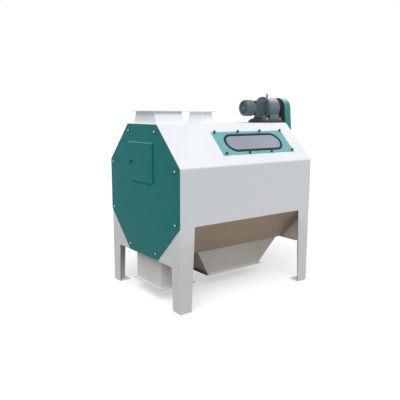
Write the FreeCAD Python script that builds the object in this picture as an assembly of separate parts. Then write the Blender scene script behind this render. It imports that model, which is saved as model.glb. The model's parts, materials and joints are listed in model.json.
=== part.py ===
import FreeCAD, Part
import math
import os

# Drum seed cleaner: an octagonal sheet-steel housing on tapered legs. A drum screen hangs on the overhung
# end of a main shaft inside it, and a foot-mounted gear motor on the roof turns that shaft by roller chain.
# Millimetres. X runs along the drum axis with the bolted end cover at -X and the chain guard at +X.
# The window is on the front, -Y. Z is up, and the origin is on the floor, midway between the four feet.

# Housing
housing_length = 1310.0
end_rim_width = 90.0
axis_height = 830.0
panel_sheet = 2.5
end_sheet = 4.0
seam_clearance = 0.3
cut_overrun = 10.0

# Legs and feet
leg_side_width_floor = 96.0
leg_side_width_top = 124.0
leg_end_width_floor = 96.0
leg_end_width_top = 112.0
foot_plate_thickness = 6.0
anchor_hole_diameter = 18.0
end_flange_depth = 20.0

# End cover and its fasteners; the drum is drawn out through the opening behind the cover
drum_withdrawal_gap = 10.0
cover_sheet = 3.0
cover_gasket = 2.0
cover_margin = 2.0
cover_bolt_diameter = 12.0
cover_bolt_head_diameter = 22.0
cover_bolt_head_height = 9.0
cover_bolt_inset = 6.0
cover_bolt_spread = 188.0
cover_bolt_length = 26.0

# Inspection door; its bottom edge is measured up from the drum axis
door_width = 334.0
door_height = 303.0
door_hinge_side_y = -150.0
door_bottom_z = 63.0
door_sheet = 2.5
door_gasket = 2.0
door_lap = 16.0
hinge_knuckle_radius = 4.5
hinge_pin_radius = 2.5
hinge_knuckle_count = 7
hinge_leaf_width = 22.0
hinge_leaf_sheet = 1.2
hinge_side_gap = 1.0
pin_clearance = 0.05
latch_knob_radius = 12.0
latch_knob_height = 14.0
latch_knob_flute_radius = 2.5
latch_knob_flute_count = 6
latch_spindle_radius = 5.0
latch_inset = 29.0
latch_height_on_door = 150.0
latch_cam_length = 32.0
latch_cam_width = 16.0
latch_cam_sheet = 4.0

# Window in the front slope of the hood
window_centre_x = 150.0
window_frame_length = 740.0
window_frame_height = 230.0
window_frame_sheet = 3.0
window_fold_distance = 205.0
window_length = 584.0
window_height = 171.0
seal_lip = 5.5
seal_web = 3.0
seal_lip_thickness = 2.2
pane_thickness = 4.0
hood_window_margin = 14.0
window_knob_end_inset = 23.5
window_knob_edge_inset = 9.0
window_knob_count = 4
window_knob_radius = 11.0
window_knob_height = 16.0
window_collar_height = 5.0
window_stud_radius = 4.0
window_stud_tail = 8.0
window_stud_clearance = 0.5

# Drum screen; it starts inside the partition's hole and ends short of the far end plate
drum_radius = 400.0
screen_sheet = 2.0
drum_overlap = 18.0
drum_end_gap = 55.0
drum_ring_depth = 10.0
drum_ring_width = 30.0
drum_slat_count = 6
drum_slat_width = 30.0
spider_hub_gap = 15.0
spider_spoke_count = 6
spider_spoke_width = 50.0
spider_spoke_depth = 26.0
spider_rim_width = 50.0
spider_rim_sheet = 12.0
spider_hub_radius = 58.0
spider_hub_length = 84.0
spiral_height = 45.0
spiral_pitch = 230.0
spiral_sheet = 4.0
spiral_clearance = 0.1
spiral_end_gap = 4.0
spiral_segments_per_turn = 8

# Main shaft, bearings and their carrier
shaft_radius = 27.5
bearing_outer_radius = 50.0
bearing_width = 21.0
bearing_shoulder = 5.0
running_clearance = 0.05
carrier_tube_radius = 66.0
carrier_length = 343.0
carrier_flange_radius = 165.0
carrier_flange_thickness = 18.0
carrier_rib_count = 6
carrier_rib_sheet = 10.0
carrier_rib_length = 120.0
carrier_bolt_count = 6
carrier_bolt_circle_radius = 142.0
carrier_bolt_diameter = 16.0
carrier_bolt_head_radius = 14.0
carrier_bolt_head_height = 10.0
carrier_bolt_tail = 14.0
main_shaft_tail = 14.0
main_shaft_nose = 6.0
weld_overlap = 4.0

# Partition between the trash section and the sieve section, measured in from the near end
partition_setback = 343.0
partition_sheet = 3.0
partition_gap = 6.0

# Brush above the drum
brush_angle = -45.0
brush_width = 34.0
brush_gap = 0.8
bristle_length = 42.0
brush_bar_height = 24.0
brush_near_gap = 65.0
brush_far_gap = 45.0
brush_bracket_width = 50.0
brush_bracket_reach = 40.0
brush_bracket_sheet = 4.0
brush_bracket_count = 3

# Ducts; setbacks run from the near end, inlet tops up from the hood and outlet mouths up from the floor
duct_sheet = 2.0
flange_overhang = 22.0
flange_sheet = 5.0
flange_hole_diameter = 12.0
feed_inlet_setback = 150.0
feed_inlet_length = 244.0
feed_inlet_base_width = 320.0
feed_inlet_top_width = 250.0
feed_inlet_top_z = 96.0
aspiration_setback = 545.0
aspiration_base_length = 114.0
aspiration_top_length = 100.0
aspiration_base_width = 184.0
aspiration_top_width = 160.0
aspiration_top_z = 94.0
hopper_near_gap = 21.0
hopper_far_gap = 82.0
hopper_side_inset = 0.1
hopper_end_slope_run = 151.0
hopper_bottom_width = 290.0
hopper_bottom_z = 104.0
trash_setback = 184.0
trash_length = 278.0
trash_width = 364.0
trash_bottom_z = 90.0

# Feed chute; heights are from the drum axis and reaches run past the partition
feed_chute_width = 280.0
feed_chute_floor_high_z = 275.0
feed_chute_floor_reach = 77.0
feed_chute_floor_low_z = -30.0
feed_chute_roof_high_z = 355.0
feed_chute_roof_reach = 132.0
feed_chute_roof_low_z = 155.0

# Chain drive
chain_pitch = 19.05
chain_roller_radius = 5.95
chain_plate_height = 17.0
chain_plate_thickness = 2.4
chain_inner_width = 12.6
driver_teeth = 17
driven_teeth = 50
sprocket_width = 11.6
sprocket_from_guard_plate = 37.0
motor_offset_y = -50.0
sprocket_hub_length = 30.0
driven_hub_radius = 46.0
drive_hub_radius = 34.0
lightening_hole_radius = 26.0
lightening_hole_circle = 96.0
lightening_hole_count = 5
roller_seat_clearance = 0.4
latch_face_gap = 0.2

# Chain guard
guard_plate_gap = 49.0
guard_plate_sheet = 3.0
guard_depth = 70.0
guard_sheet = 2.0
guard_top_radius = 90.0
guard_bottom_radius = 200.0
guard_standoff_radius = 12.5
guard_shaft_gap = 12.0
guard_bolt_radius = 4.0
guard_bolt_head_radius = 8.0
guard_bolt_head_height = 5.0

# Gear motor; it is set back from the far end plate and its own parts follow on from one another
gearbox_centre_height = 106.0
gearbox_radius = 92.0
gearbox_length = 120.0
gearbox_setback = 1.0
gearbox_wall = 12.0
gearbox_cover_thickness = 8.0
gearbox_bell_radius = 97.0
gearbox_bell_width = 20.0
bell_shoulder = 2.0
gearbox_pedestal_width = 150.0
gearbox_foot_width = 200.0
gearbox_foot_thickness = 14.0
gearbox_foot_near_reach = 70.0
gearbox_foot_far_reach = 17.0
saddle_inset = 10.0
saddle_width = 116.0
saddle_foot_flare = 10.0
foot_bolt_spacing_x = 155.0
foot_bolt_spacing_y = 170.0
foot_bolt_edge = 17.0
foot_bolt_diameter = 12.0
foot_bolt_head_radius = 10.0
foot_bolt_head_height = 8.0
output_shaft_radius = 19.0
output_shaft_tail = 9.2
output_shaft_seat = 38.0
motor_body_radius = 54.0
motor_fin_height = 7.0
motor_fin_count = 9
motor_fin_pitch = 10.0
motor_fin_sheet = 3.0
motor_body_length = 120.0
motor_end_land = 4.0
motor_pad_depth = 22.0
motor_pad_bottom = 2.5
motor_lug_inset = 4.0
motor_lug_width = 22.0
rotor_shaft_reach = 20.0
motor_flange_length = 30.0
motor_bore_end_wall = 10.0
terminal_seat_depth = 20.0
terminal_seat_height = 48.0
terminal_seat_length = 76.0
motor_bore_radius = 38.0
rotor_core_radius = 36.0
rotor_shaft_radius = 9.5
cowl_length = 82.0
cowl_lap = 6.0
cowl_chamfer = 9.0
cowl_hub_radius = 16.0
cowl_radius = 67.0
cowl_sheet = 2.0
cowl_slot_count = 10
cowl_slot_width = 7.0
fan_blade_count = 6
fan_radius = 52.0
fan_blade_sheet = 3.0
fan_gap = 14.0
terminal_box_length = 96.0
terminal_box_height = 70.0
terminal_box_depth = 42.0
motor_base_near_margin = 6.0
motor_base_far_margin = 5.0
motor_rail_least_height = 6.0
motor_rail_inset = 8.0
motor_base_width = 222.0
motor_base_plate = 10.0
motor_rail_width = 40.0
eye_bolt_setback = 41.0
eye_shank_radius = 9.0
eye_shank_height = 7.0
eye_ring_radius = 13.0
eye_wire_radius = 3.5

cover_opening_across_flats = 2 * (drum_radius + drum_withdrawal_gap)
across_flats = cover_opening_across_flats + 2 * end_rim_width
half_length = housing_length / 2
half_width = across_flats / 2
near_x = -half_length
far_x = half_length
eighth = math.radians(22.5)
flat_half = half_width * math.tan(eighth)
top_z = axis_height + half_width
bottom_z = axis_height - half_width
lower_corner_z = axis_height - flat_half
inner_half = half_width - panel_sheet

# Places along the machine
feed_inlet_x = near_x + feed_inlet_setback
trash_centre_x = near_x + trash_setback
aspiration_x = near_x + aspiration_setback
partition_x = near_x + partition_setback
drum_start_x = partition_x - drum_overlap
drum_end_x = far_x - drum_end_gap
carrier_inner_x = far_x - carrier_length
spider_x = carrier_inner_x - spider_hub_gap - spider_hub_length / 2
hopper_top_length = far_x - hopper_far_gap - partition_x - hopper_near_gap
hopper_top_width = 2 * (flat_half - hopper_side_inset)
hopper_bottom_length = hopper_top_length - 2 * hopper_end_slope_run
hopper_centre_x = partition_x + hopper_near_gap + hopper_top_length / 2
guard_plate_x = far_x + guard_plate_gap
sprocket_x = guard_plate_x + sprocket_from_guard_plate
gearbox_end_x = far_x - gearbox_setback
gearbox_start_x = gearbox_end_x - gearbox_length
motor_start_x = gearbox_start_x - motor_flange_length - motor_body_length
body_end_x = motor_start_x + motor_body_length
cowl_start_x = motor_start_x - cowl_length

os.makedirs("parts", exist_ok=True)


def save(name, shapes):
    """Write one node; several shapes become one group of separate solids."""
    solids = []
    for shape in shapes if isinstance(shapes, list) else [shapes]:
        solids.extend(shape.Solids)
    group = solids[0] if len(solids) == 1 else Part.makeCompound(solids)
    group.exportStep(f"parts/{name}.step")


def vec(x, y, z):
    return FreeCAD.Vector(x, y, z)


def block(x0, x1, y0, y1, z0, z1):
    return Part.makeBox(x1 - x0, y1 - y0, z1 - z0, vec(x0, y0, z0))


def x_cylinder(x0, x1, radius, y=0.0, z=axis_height):
    return Part.makeCylinder(radius, x1 - x0, vec(x0, y, z), vec(1, 0, 0))


def z_cylinder(x, y, z0, z1, radius):
    return Part.makeCylinder(radius, z1 - z0, vec(x, y, z0), vec(0, 0, 1))


def x_ring(x0, x1, outer, inner, y=0.0, z=axis_height):
    return x_cylinder(x0, x1, outer, y, z).cut(x_cylinder(x0 - 1, x1 + 1, inner, y, z))


def yz_prism(points, x0, x1):
    """Extrude a closed outline given as (y, z) points along X."""
    corners = [vec(x0, y, z) for y, z in points]
    face = Part.Face(Part.makePolygon(corners + corners[:1]))
    return face.extrude(vec(x1 - x0, 0, 0))


def xz_prism(points, y0, y1):
    """Extrude a closed outline given as (x, z) points along Y."""
    corners = [vec(x, y0, z) for x, z in points]
    face = Part.Face(Part.makePolygon(corners + corners[:1]))
    return face.extrude(vec(0, y1 - y0, 0))


def x_revolve(points, y=0.0, z=axis_height):
    """Revolve a closed outline of (x, radius) points about a line along X."""
    corners = [vec(x, y, z + radius) for x, radius in points]
    face = Part.Face(Part.makePolygon(corners + corners[:1]))
    return face.revolve(vec(0, y, z), vec(1, 0, 0), 360)


def turned(shape, degrees, y=0.0, z=axis_height):
    """A copy turned about a line along X."""
    copy = shape.copy()
    copy.rotate(vec(0, y, z), vec(1, 0, 0), degrees)
    return copy


def fused(shapes):
    return shapes[0].multiFuse(shapes[1:]).removeSplitter()


def octagon_points(half, z=axis_height):
    corner = half / math.cos(eighth)
    angles = [eighth + i * math.pi / 4 for i in range(8)]
    return [(corner * math.cos(a), z + corner * math.sin(a)) for a in angles]


def octagon_prism(half, x0, x1):
    return yz_prism(octagon_points(half), x0, x1)


def octagon_panel(index, x0, x1):
    """One mitred side of the housing; index 0 is the rear upper slope, then on over the top to the front."""
    outer = octagon_points(half_width)
    inner = octagon_points(inner_half)
    j = (index + 1) % 8
    return yz_prism([outer[index], outer[j], inner[j], inner[index]], x0, x1)


def front_slope(shape):
    """Lay a shape drawn flat, x along the machine and y up the slope from the top fold, on the front slope."""
    copy = shape.copy()
    copy.rotate(vec(0, 0, 0), vec(1, 0, 0), 45)
    copy.translate(vec(0, -flat_half, top_z))
    return copy


def stadium(length, height, x, y, z0, z1):
    radius = height / 2
    half = length / 2 - radius
    middle = block(x - half, x + half, y - radius, y + radius, z0, z1)
    ends = [z_cylinder(x + s * half, y, z0, z1, radius) for s in (-1, 1)]
    return fused([middle] + ends)


def rect_wire(length, width, x, z):
    a, b = length / 2, width / 2
    corners = [vec(x - a, -b, z), vec(x + a, -b, z), vec(x + a, b, z), vec(x - a, b, z)]
    return Part.makePolygon(corners + corners[:1])


def duct(x, low, high, z_low, z_high, flange_at_top):
    """Four-sided sheet duct between two rectangles (length, width), with a drilled flange on its free end."""
    def frustum(shrink):
        wires = [rect_wire(a - shrink, b - shrink, x, z) for (a, b), z in ((low, z_low), (high, z_high))]
        return Part.makeLoft(wires, True, True)
    walls = frustum(0).cut(frustum(2 * duct_sheet))
    (length, width), z = (high, z_high - flange_sheet) if flange_at_top else (low, z_low)
    a, b = length / 2, width / 2
    over = flange_overhang
    ring = block(x - a - over, x + a + over, -b - over, b + over, z, z + flange_sheet)
    mouth = frustum(2 * duct_sheet)
    ring = ring.cut(mouth)
    solid = fused([walls, ring])
    for sx in (-1, 1):
        for sy in (-1, 1):
            hole_x = x + sx * (a + over / 2)
            hole_y = sy * (b + over / 2)
            solid = solid.cut(z_cylinder(hole_x, hole_y, z - 1, z + flange_sheet + 1, flange_hole_diameter / 2))
    return solid


# End frames: each is one folded sheet, the end plate with its two L-section legs

def end_frame(sign):
    """sign -1 is the near frame, which the cover closes, and +1 the far frame, which carries the drive."""
    inner = sorted(octagon_points(inner_half), key=lambda p: p[1])
    yt = inner_half * math.tan(eighth)
    zt = axis_height + inner_half
    low = leg_end_width_top
    foot = leg_end_width_floor
    right = [(yt, zt), (inner_half, inner[-3][1]), (inner_half, lower_corner_z), (half_width, lower_corner_z),
             (half_width, 0), (half_width - foot, 0), (half_width - low, bottom_z)]
    outline = right + [(-y, z) for y, z in reversed(right)]
    outer_x = sign * half_length
    inner_x = outer_x - sign * end_sheet
    plate = yz_prism(outline, min(outer_x, inner_x), max(outer_x, inner_x))
    limbs = []
    for side in (-1, 1):
        xs = [outer_x, outer_x - sign * leg_side_width_floor, outer_x - sign * leg_side_width_top, outer_x]
        zs = [0, 0, lower_corner_z, lower_corner_z]
        y0 = min(side * half_width, side * (half_width - end_sheet))
        limb = xz_prism(list(zip(xs, zs)), y0, y0 + end_sheet)
        limbs.append(limb.cut(octagon_prism(half_width, near_x + end_sheet, far_x - end_sheet)))
    lip_x = sorted([inner_x, inner_x - sign * end_flange_depth])
    lip_y = half_width - leg_end_width_top
    lip = block(lip_x[0], lip_x[1], -lip_y, lip_y, bottom_z - end_sheet, bottom_z)
    skirt_x = sorted([outer_x, inner_x])
    skirt = block(skirt_x[0], skirt_x[1], -lip_y, lip_y, bottom_z - end_sheet, bottom_z)
    return fused([plate, skirt, lip] + limbs)


cover_bolt_reach = (half_width + cover_opening_across_flats / 2) / 2 - cover_bolt_inset
cover_bolt_places = []
for sa in (-1, 1):
    for sb in (-1, 1):
        cover_bolt_places.append((sa * cover_bolt_spread, axis_height + sb * cover_bolt_reach))
        cover_bolt_places.append((sa * cover_bolt_reach, axis_height + sb * cover_bolt_spread))

near_frame = end_frame(-1)
near_frame = near_frame.cut(octagon_prism(cover_opening_across_flats / 2, near_x - 1, near_x + end_sheet + 1))
for y, z in cover_bolt_places:
    near_frame = near_frame.cut(x_cylinder(near_x - 1, near_x + end_sheet + 1, cover_bolt_diameter / 2, y, z))
save("near_end_frame", near_frame)

carrier_bolt_places = []
for i in range(carrier_bolt_count):
    angle = 2 * math.pi * i / carrier_bolt_count
    carrier_bolt_places.append((carrier_bolt_circle_radius * math.cos(angle),
                                axis_height + carrier_bolt_circle_radius * math.sin(angle)))

far_frame = end_frame(1)
far_frame = far_frame.cut(x_cylinder(far_x - end_sheet - 1, far_x + 1, carrier_tube_radius))
for y, z in carrier_bolt_places:
    far_frame = far_frame.cut(x_cylinder(far_x - end_sheet - 1, far_x + 1, carrier_bolt_diameter / 2, y, z))
save("far_end_frame", far_frame)

# Foot plates stand inside each leg's L

anchor_x = half_length - end_sheet - (leg_side_width_floor - end_sheet) / 2
anchor_y = half_width - end_sheet - (leg_end_width_floor - end_sheet) / 2
feet = []
for sx in (-1, 1):
    for sy in (-1, 1):
        half_x = (leg_side_width_floor - end_sheet) / 2
        half_y = (leg_end_width_floor - end_sheet) / 2
        cx = sx * anchor_x
        cy = sy * anchor_y
        plate = block(cx - half_x, cx + half_x, cy - half_y, cy + half_y, 0, foot_plate_thickness)
        feet.append(plate.cut(z_cylinder(cx, cy, -1, foot_plate_thickness + 1, anchor_hole_diameter / 2)))
save("foot_plates", feet)

# Housing panels

save("front_side_panel", octagon_panel(3, near_x, far_x))
save("rear_side_panel", octagon_panel(7, near_x, far_x))
save("hood_rear_panel", octagon_panel(0, near_x, far_x))
inside_x = half_length - end_sheet
save("front_trough_plate", octagon_panel(4, -inside_x, inside_x))
save("rear_trough_plate", octagon_panel(6, -inside_x, inside_x))


def roof_cut(x, half_x, half_y, z):
    """A block that cuts a duct's opening through a level sheet at height z."""
    return block(x - half_x, x + half_x, -half_y, half_y, z - cut_overrun, z + cut_overrun)


hood_top = octagon_panel(1, near_x, far_x)
hood_top = hood_top.cut(roof_cut(feed_inlet_x, feed_inlet_length / 2 - duct_sheet, feed_chute_width / 2, top_z))
hood_top = hood_top.cut(roof_cut(aspiration_x, aspiration_base_length / 2 - duct_sheet,
                                 aspiration_base_width / 2 - duct_sheet, top_z))
save("hood_top_panel", hood_top)

window_knob_pitch = (window_frame_length - 2 * window_knob_end_inset) / (window_knob_count - 1)
window_knob_rows = window_frame_height - 2 * window_knob_edge_inset
window_knob_places = []
for i in range(window_knob_count):
    knob_x = window_centre_x + (i - (window_knob_count - 1) / 2) * window_knob_pitch
    for s in (-1, 1):
        window_knob_places.append((knob_x, -window_fold_distance + s * window_knob_rows / 2))

hood_front = octagon_panel(2, near_x, far_x)
opening = stadium(window_length + hood_window_margin, window_height + hood_window_margin,
                  window_centre_x, -window_fold_distance, -panel_sheet - 1, 1)
hood_front = hood_front.cut(front_slope(opening))
for x, y in window_knob_places:
    stud_hole = z_cylinder(x, y, -panel_sheet - 1, 1, window_stud_radius + window_stud_clearance)
    hood_front = hood_front.cut(front_slope(stud_hole))
save("hood_front_panel", hood_front)

bottom_plate = octagon_panel(5, -inside_x, inside_x)
bottom_plate = bottom_plate.cut(roof_cut(hopper_centre_x, hopper_top_length / 2 - duct_sheet,
                                         hopper_top_width / 2 - 5 * duct_sheet, bottom_z))
bottom_plate = bottom_plate.cut(roof_cut(trash_centre_x, trash_length / 2 - duct_sheet,
                                         trash_width / 2 - duct_sheet, bottom_z))
save("bottom_plate", bottom_plate)

# Ducts

save("grain_hopper", duct(hopper_centre_x, (hopper_bottom_length, hopper_bottom_width),
                          (hopper_top_length, hopper_top_width), hopper_bottom_z, bottom_z, False))
save("trash_chute", duct(trash_centre_x, (trash_length, trash_width),
                         (trash_length, trash_width), trash_bottom_z, bottom_z, False))
save("feed_inlet", duct(feed_inlet_x, (feed_inlet_length, feed_inlet_base_width),
                        (feed_inlet_length, feed_inlet_top_width), top_z, top_z + feed_inlet_top_z, True))
save("aspiration_outlet", duct(aspiration_x, (aspiration_base_length, aspiration_base_width),
                               (aspiration_top_length, aspiration_top_width),
                               top_z, top_z + aspiration_top_z, True))

# Feed chute: hangs under the inlet and reaches over the drum's rim into its open mouth

chute_left = feed_inlet_x - feed_inlet_length / 2
chute_right = feed_inlet_x + feed_inlet_length / 2
hood_inside_z = top_z - panel_sheet
floor_low_x = partition_x + feed_chute_floor_reach
roof_low_x = partition_x + feed_chute_roof_reach


def feed_chute_outline(wall):
    """The chute's side view; a positive wall moves each side inwards and runs past both mouths."""
    run = 2 * wall
    slope_wall = 1.3 * wall
    return [
        (chute_left + wall, hood_inside_z + run),
        (chute_right - wall, hood_inside_z + run),
        (chute_right - wall, axis_height + feed_chute_roof_high_z - 0.6 * wall),
        (roof_low_x - wall + run, axis_height + feed_chute_roof_low_z - slope_wall - run),
        (floor_low_x + run, axis_height + feed_chute_floor_low_z + slope_wall - 0.8 * run),
        (chute_left + wall, axis_height + feed_chute_floor_high_z + slope_wall),
    ]


half_chute = feed_chute_width / 2
feed_chute = xz_prism(feed_chute_outline(0), -half_chute, half_chute)
chute_room = half_chute - duct_sheet
feed_chute = feed_chute.cut(xz_prism(feed_chute_outline(duct_sheet), -chute_room, chute_room))
save("feed_chute", feed_chute)

# Partition between the sections, cut round for the drum

partition = octagon_prism(inner_half, partition_x, partition_x + partition_sheet)
partition = partition.cut(x_cylinder(partition_x - 1, partition_x + partition_sheet + 1,
                                     drum_radius + partition_gap))
save("partition_plate", partition)

# End cover, gasket and bolts

gasket_x = near_x - cover_gasket
cover_x = gasket_x - cover_sheet
cover_half = half_width - cover_margin
door_y0 = door_hinge_side_y
door_y1 = door_hinge_side_y + door_width
door_z0 = axis_height + door_bottom_z
door_z1 = door_z0 + door_height

gasket = octagon_prism(cover_half, gasket_x, near_x).cut(
    octagon_prism(cover_opening_across_flats / 2, gasket_x - 1, near_x + 1))
cover = octagon_prism(cover_half, cover_x, gasket_x)
cover = cover.cut(block(cover_x - 1, gasket_x + 1, door_y0 + door_lap, door_y1 - door_lap,
                        door_z0 + door_lap, door_z1 - door_lap))
for y, z in cover_bolt_places:
    hole = x_cylinder(cover_x - 1, near_x + 1, cover_bolt_diameter / 2, y, z)
    gasket = gasket.cut(hole)
    cover = cover.cut(hole)
save("end_cover_gasket", gasket)


def domed_bolt(y, z):
    """Domed cap nut on a stud, drawn as one revolved form."""
    head = cover_bolt_head_height
    r = cover_bolt_head_diameter / 2
    shank = cover_bolt_diameter / 2 - running_clearance
    tip = cover_x + cover_bolt_length
    outline = [(cover_x - head, 0), (cover_x - 0.91 * head, 0.55 * r), (cover_x - 0.45 * head, 0.9 * r),
               (cover_x, r), (cover_x, shank), (tip, shank), (tip, 0)]
    return x_revolve(outline, y, z)


save("end_cover_bolts", [domed_bolt(y, z) for y, z in cover_bolt_places])

# Inspection door: a proud plate on a knuckle hinge, closed by a quarter-turn cam latch

hinge_x = cover_x - hinge_knuckle_radius - seam_clearance
hinge_y = door_y0 - hinge_knuckle_radius - hinge_side_gap
knuckle_pitch = door_height / hinge_knuckle_count
latch_y = door_y1 - latch_inset
latch_z = door_z0 + latch_height_on_door


def knuckles(parity):
    """The hinge barrels of one leaf; the two leaves take turns up the pin."""
    rings = []
    for i in range(parity, hinge_knuckle_count, 2):
        z0 = door_z0 + i * knuckle_pitch + seam_clearance / 2
        z1 = door_z0 + (i + 1) * knuckle_pitch - seam_clearance / 2
        ring = z_cylinder(hinge_x, hinge_y, z0, z1, hinge_knuckle_radius)
        bore = hinge_pin_radius + (pin_clearance if parity else 0)
        rings.append((z0, z1, ring.cut(z_cylinder(hinge_x, hinge_y, z0 - 1, z1 + 1, bore))))
    return rings


leaf_x = cover_x - hinge_leaf_sheet
leaf_y = hinge_y - hinge_knuckle_radius - hinge_side_gap
fixed_leaf = block(leaf_x, cover_x, hinge_y - hinge_leaf_width, leaf_y, door_z0, door_z1)
fixed_parts = [fixed_leaf]
for z0, z1, ring in knuckles(0):
    web = block(leaf_x - 0.5, cover_x, leaf_y - hinge_side_gap,
                hinge_y - hinge_pin_radius - seam_clearance, z0, z1)
    fixed_parts.append(ring)
    fixed_parts.append(web)
cover = fused([cover] + fixed_parts)
save("end_cover", cover)
save("door_hinge_pin", z_cylinder(hinge_x, hinge_y, door_z0 - 2, door_z1 + 2, hinge_pin_radius))

door_gasket_x = cover_x - seam_clearance - door_gasket
door_x = door_gasket_x - door_sheet
door = block(door_x, door_gasket_x, door_y0, door_y1, door_z0, door_z1)
door_parts = [door]
for z0, z1, ring in knuckles(1):
    strap = block(door_x, door_x + hinge_leaf_sheet, hinge_y + hinge_pin_radius + seam_clearance,
                  door_y0 + hinge_side_gap, z0, z1)
    door_parts.append(ring)
    door_parts.append(strap)
door = fused(door_parts)
spindle_hole = x_cylinder(door_x - 1, door_gasket_x + 1, latch_spindle_radius + running_clearance,
                          latch_y, latch_z)
save("inspection_door", door.cut(spindle_hole))
door_ring = block(door_gasket_x, door_gasket_x + door_gasket, door_y0 + 2, door_y1 - 2,
                  door_z0 + 2, door_z1 - 2)
door_ring = door_ring.cut(block(door_gasket_x - 1, cover_x, door_y0 + door_lap, door_y1 - door_lap,
                                door_z0 + door_lap, door_z1 - door_lap))
save("door_gasket", door_ring)

# The latch stands with its cam turned down, clear of the cover, so that the door is free to open

knob_x = door_x - latch_knob_height
cam_x = gasket_x + 0.5
knob_back = door_x - latch_face_gap
knob = x_revolve([(knob_x, 0), (knob_x, 0.7 * latch_knob_radius),
                  (knob_x + 0.15 * latch_knob_height, latch_knob_radius),
                  (knob_x + 0.7 * latch_knob_height, latch_knob_radius),
                  (knob_x + 0.8 * latch_knob_height, 0.6 * latch_knob_radius),
                  (knob_back, 0.6 * latch_knob_radius), (knob_back, 0)], latch_y, latch_z)
for i in range(latch_knob_flute_count):
    flute = x_cylinder(knob_x - 1, knob_x + 0.75 * latch_knob_height, latch_knob_flute_radius,
                       latch_y, latch_z + latch_knob_radius + 0.4 * latch_knob_flute_radius)
    knob = knob.cut(turned(flute, 360 * i / latch_knob_flute_count, latch_y, latch_z))
save("latch_knob", knob)
spindle = x_cylinder(knob_back, cam_x, latch_spindle_radius, latch_y, latch_z)
cam = block(cam_x, cam_x + latch_cam_sheet, latch_y - latch_cam_width / 2, latch_y + latch_cam_width / 2,
            latch_z - latch_cam_length, latch_z + latch_cam_width / 2)
save("latch_cam", fused([spindle, cam]))

# Window: a flat frame over the hood opening, a rubber glazing seal, the pane and eight clamp knobs

fold = -window_fold_distance
frame_half = window_frame_height / 2
frame = block(window_centre_x - window_frame_length / 2, window_centre_x + window_frame_length / 2,
              fold - frame_half, fold + frame_half, 0, window_frame_sheet)
frame_opening_length = window_length - 2 * seal_lip
frame_opening_height = window_height - 2 * seal_lip
frame = frame.cut(stadium(frame_opening_length, frame_opening_height, window_centre_x, fold,
                          -1, window_frame_sheet + 1))
for x, y in window_knob_places:
    frame = frame.cut(z_cylinder(x, y, -1, window_frame_sheet + 1, window_stud_radius + window_stud_clearance))
save("window_frame", front_slope(frame))

pane_length = frame_opening_length - 2 * seal_web
pane_height = frame_opening_height - 2 * seal_web
pane_z0 = (window_frame_sheet - pane_thickness) / 2
pane = stadium(pane_length, pane_height, window_centre_x, fold, pane_z0, pane_z0 + pane_thickness)
save("window_pane", front_slope(pane))

seal_z0 = pane_z0 - seal_lip_thickness
seal_z1 = pane_z0 + pane_thickness + seal_lip_thickness
seal = stadium(window_length, window_height, window_centre_x, fold, seal_z0, seal_z1)
seal_bore_length = pane_length - 2 * seal_lip
seal_bore_height = pane_height - 2 * seal_lip
seal = seal.cut(stadium(seal_bore_length, seal_bore_height, window_centre_x, fold, seal_z0 - 1, seal_z1 + 1))
groove = stadium(window_length + 2, window_height + 2, window_centre_x, fold, 0, window_frame_sheet)
groove = groove.cut(stadium(frame_opening_length, frame_opening_height, window_centre_x, fold, -1, seal_z1))
seal = seal.cut(groove)
seal = seal.cut(pane)
save("window_seal", front_slope(seal))

window_knobs = []
for x, y in window_knob_places:
    collar_z = window_frame_sheet + window_collar_height
    stem = z_cylinder(x, y, -panel_sheet - window_stud_tail, collar_z, window_stud_radius)
    collar = z_cylinder(x, y, window_frame_sheet, collar_z, window_knob_radius * 0.6)
    grip = Part.makeCone(window_knob_radius * 0.85, window_knob_radius,
                         window_knob_height - window_collar_height, vec(x, y, collar_z))
    window_knobs.append(front_slope(fused([stem, collar, grip])))
save("window_knobs", window_knobs)

# Drum: rings and slats carry two perforated screens, and a spider holds them on the overhung shaft end

screen_inside = drum_radius - screen_sheet
frame_inside = screen_inside - drum_ring_depth
rim_x0 = spider_x - spider_rim_width / 2
rim_x1 = spider_x + spider_rim_width / 2
spider_rim_inside = frame_inside - spider_rim_sheet
rings = [x_ring(drum_start_x, drum_start_x + drum_ring_width, screen_inside, frame_inside),
         x_ring(rim_x0, rim_x1, screen_inside, frame_inside),
         x_ring(drum_end_x - drum_ring_width, drum_end_x, screen_inside, frame_inside)]
ring_band = x_ring(drum_start_x, drum_end_x, screen_inside, frame_inside)
for i in range(drum_slat_count):
    slot = block(drum_start_x, drum_end_x, -drum_slat_width / 2, drum_slat_width / 2,
                 axis_height + frame_inside - 2 * drum_ring_depth, axis_height + drum_radius)
    slat = ring_band.common(slot).cut(Part.makeCompound(rings[:3]))
    rings.append(turned(slat, 360 * (i + 0.5) / drum_slat_count))
save("drum_frame", rings)


def half_screen(x0, x1, side):
    """Half of a rolled screen; the halves meet on the horizontal plane through the axis."""
    shell = x_ring(x0, x1, drum_radius, screen_inside)
    z0, z1 = sorted([axis_height, axis_height + side * 2 * drum_radius])
    return shell.common(block(x0 - 1, x1 + 1, -2 * drum_radius, 2 * drum_radius, z0, z1))


save("fine_screen", [half_screen(drum_start_x, spider_x, side) for side in (-1, 1)])
save("coarse_screen", [half_screen(spider_x, drum_end_x, side) for side in (-1, 1)])

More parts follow.
